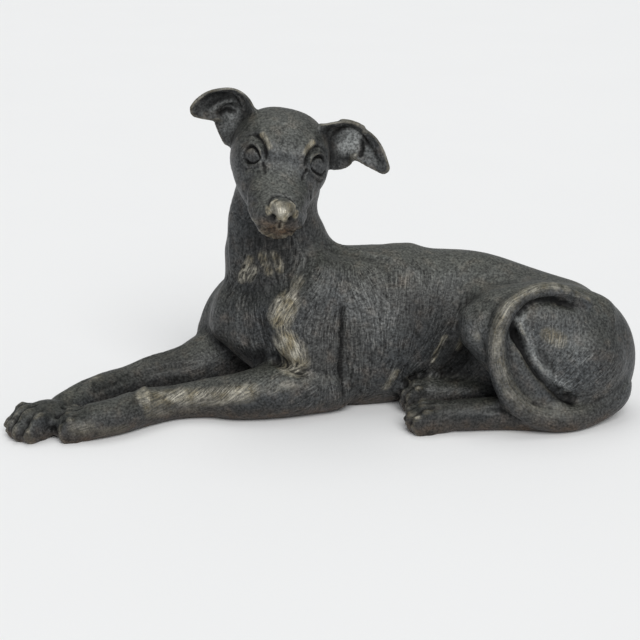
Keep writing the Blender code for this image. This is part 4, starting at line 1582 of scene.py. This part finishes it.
class OBJECT_OT_greyhound_stage(bpy.types.Operator):
    """Lays the floor, hangs the lights and sets up the camera"""

    bl_idname = "object.greyhound_stage"
    bl_label = "Set the stage"

    def execute(self, context):
        look = context.scene.greyhound_stage
        scene = context.scene
        mesh = bpy.data.meshes.new("studio_floor")
        bm = bmesh.new()
        bmesh.ops.create_grid(bm, x_segments=4, y_segments=4, size=9)
        bm.to_mesh(mesh)
        bm.free()
        floor = bpy.data.objects.new("studio_floor", mesh)
        floor.data.materials.append(pale_floor(look))
        scene.collection.objects.link(floor)

        world = bpy.data.worlds.new("soft_studio")
        world.use_nodes = True
        sky = world.node_tree.nodes["Background"]
        sky.inputs["Color"].default_value = (*look.sky, 1)
        sky.inputs["Strength"].default_value = look.sky_strength
        scene.world = world
        scene.view_settings.view_transform = "Standard"
        for name, place, strength in (
            ("front_light", (0.5, -1.9, 1.9), look.front_light),
            ("top_light", (-0.2, 0.5, 2.0), look.top_light),
        ):
            lamp = bpy.data.lights.new(name, "SUN")
            lamp.angle = look.softness
            lamp.energy = strength
            hung = bpy.data.objects.new(name, lamp)
            hung.location = place
            hung.rotation_euler = (-Vector(place)).to_track_quat("-Z", "Y").to_euler()
            scene.collection.objects.link(hung)

        camera = bpy.data.cameras.new("studio_camera")
        camera.lens = CAMERA_LENS
        camera.sensor_width = 36
        eye = bpy.data.objects.new("studio_camera", camera)
        target = share(CAMERA_TARGET)
        away = Vector((0, -math.cos(CAMERA_TILT), math.sin(CAMERA_TILT)))
        eye.location = target + away * CAMERA_DISTANCE * SHARE
        eye.rotation_euler = (-away).to_track_quat("-Z", "Y").to_euler()
        scene.collection.objects.link(eye)
        scene.camera = eye
        return {"FINISHED"}


def pale_floor(look):
    """Matt pale floor, barely uneven."""
    material = bpy.data.materials.new("pale_floor")
    material.use_nodes = True
    material.node_tree.nodes.clear()
    net = Net(material.node_tree)
    place = net.add("ShaderNodeTexCoord").outputs["Object"]
    uneven = net.ramp(net.noise(place, 2.5, 3, 4.0), 0.3, 0.7, 0.0, 0.12)
    shade = tuple(0.93 * part for part in look.floor)
    colour = net.mixed(uneven, tuple(look.floor), shade)
    surface = net.add("ShaderNodeBsdfPrincipled", {}, Base_Color=colour, Roughness=0.85)
    net.add("ShaderNodeOutputMaterial", Surface=surface.outputs[0])
    return material


class VIEW3D_PT_greyhound(bpy.types.Panel):
    """Lists the hound's sizes, its colours and its stage"""

    bl_idname = "VIEW3D_PT_greyhound"
    bl_label = "Lying greyhound"
    bl_space_type = "VIEW_3D"
    bl_region_type = "UI"
    bl_category = "Greyhound"

    def draw(self, context):
        scene = context.scene
        for operator, group in (
            (OBJECT_OT_cast_greyhound, scene.greyhound_form),
            (None, scene.greyhound_bronze),
            (OBJECT_OT_greyhound_stage, scene.greyhound_stage),
        ):
            box = self.layout.box()
            for name in group.bl_rna.properties.keys():
                if name not in {"rna_type", "name"}:
                    box.prop(group, name)
            if operator:
                box.operator(operator.bl_idname)


CLASSES = (
    GreyhoundForm,
    GreyhoundBronze,
    GreyhoundStage,
    OBJECT_OT_cast_greyhound,
    OBJECT_OT_greyhound_stage,
    VIEW3D_PT_greyhound,
)


def register():
    for kind in CLASSES:
        bpy.utils.register_class(kind)
    bpy.types.Scene.greyhound_form = PointerProperty(type=GreyhoundForm)
    bpy.types.Scene.greyhound_bronze = PointerProperty(type=GreyhoundBronze)
    bpy.types.Scene.greyhound_stage = PointerProperty(type=GreyhoundStage)


def unregister():
    del bpy.types.Scene.greyhound_stage
    del bpy.types.Scene.greyhound_bronze
    del bpy.types.Scene.greyhound_form
    for kind in reversed(CLASSES):
        bpy.utils.unregister_class(kind)


def main():
    register()
    bpy.ops.object.cast_greyhound()
    bpy.ops.object.greyhound_stage()


if __name__ == "__main__":
    main()
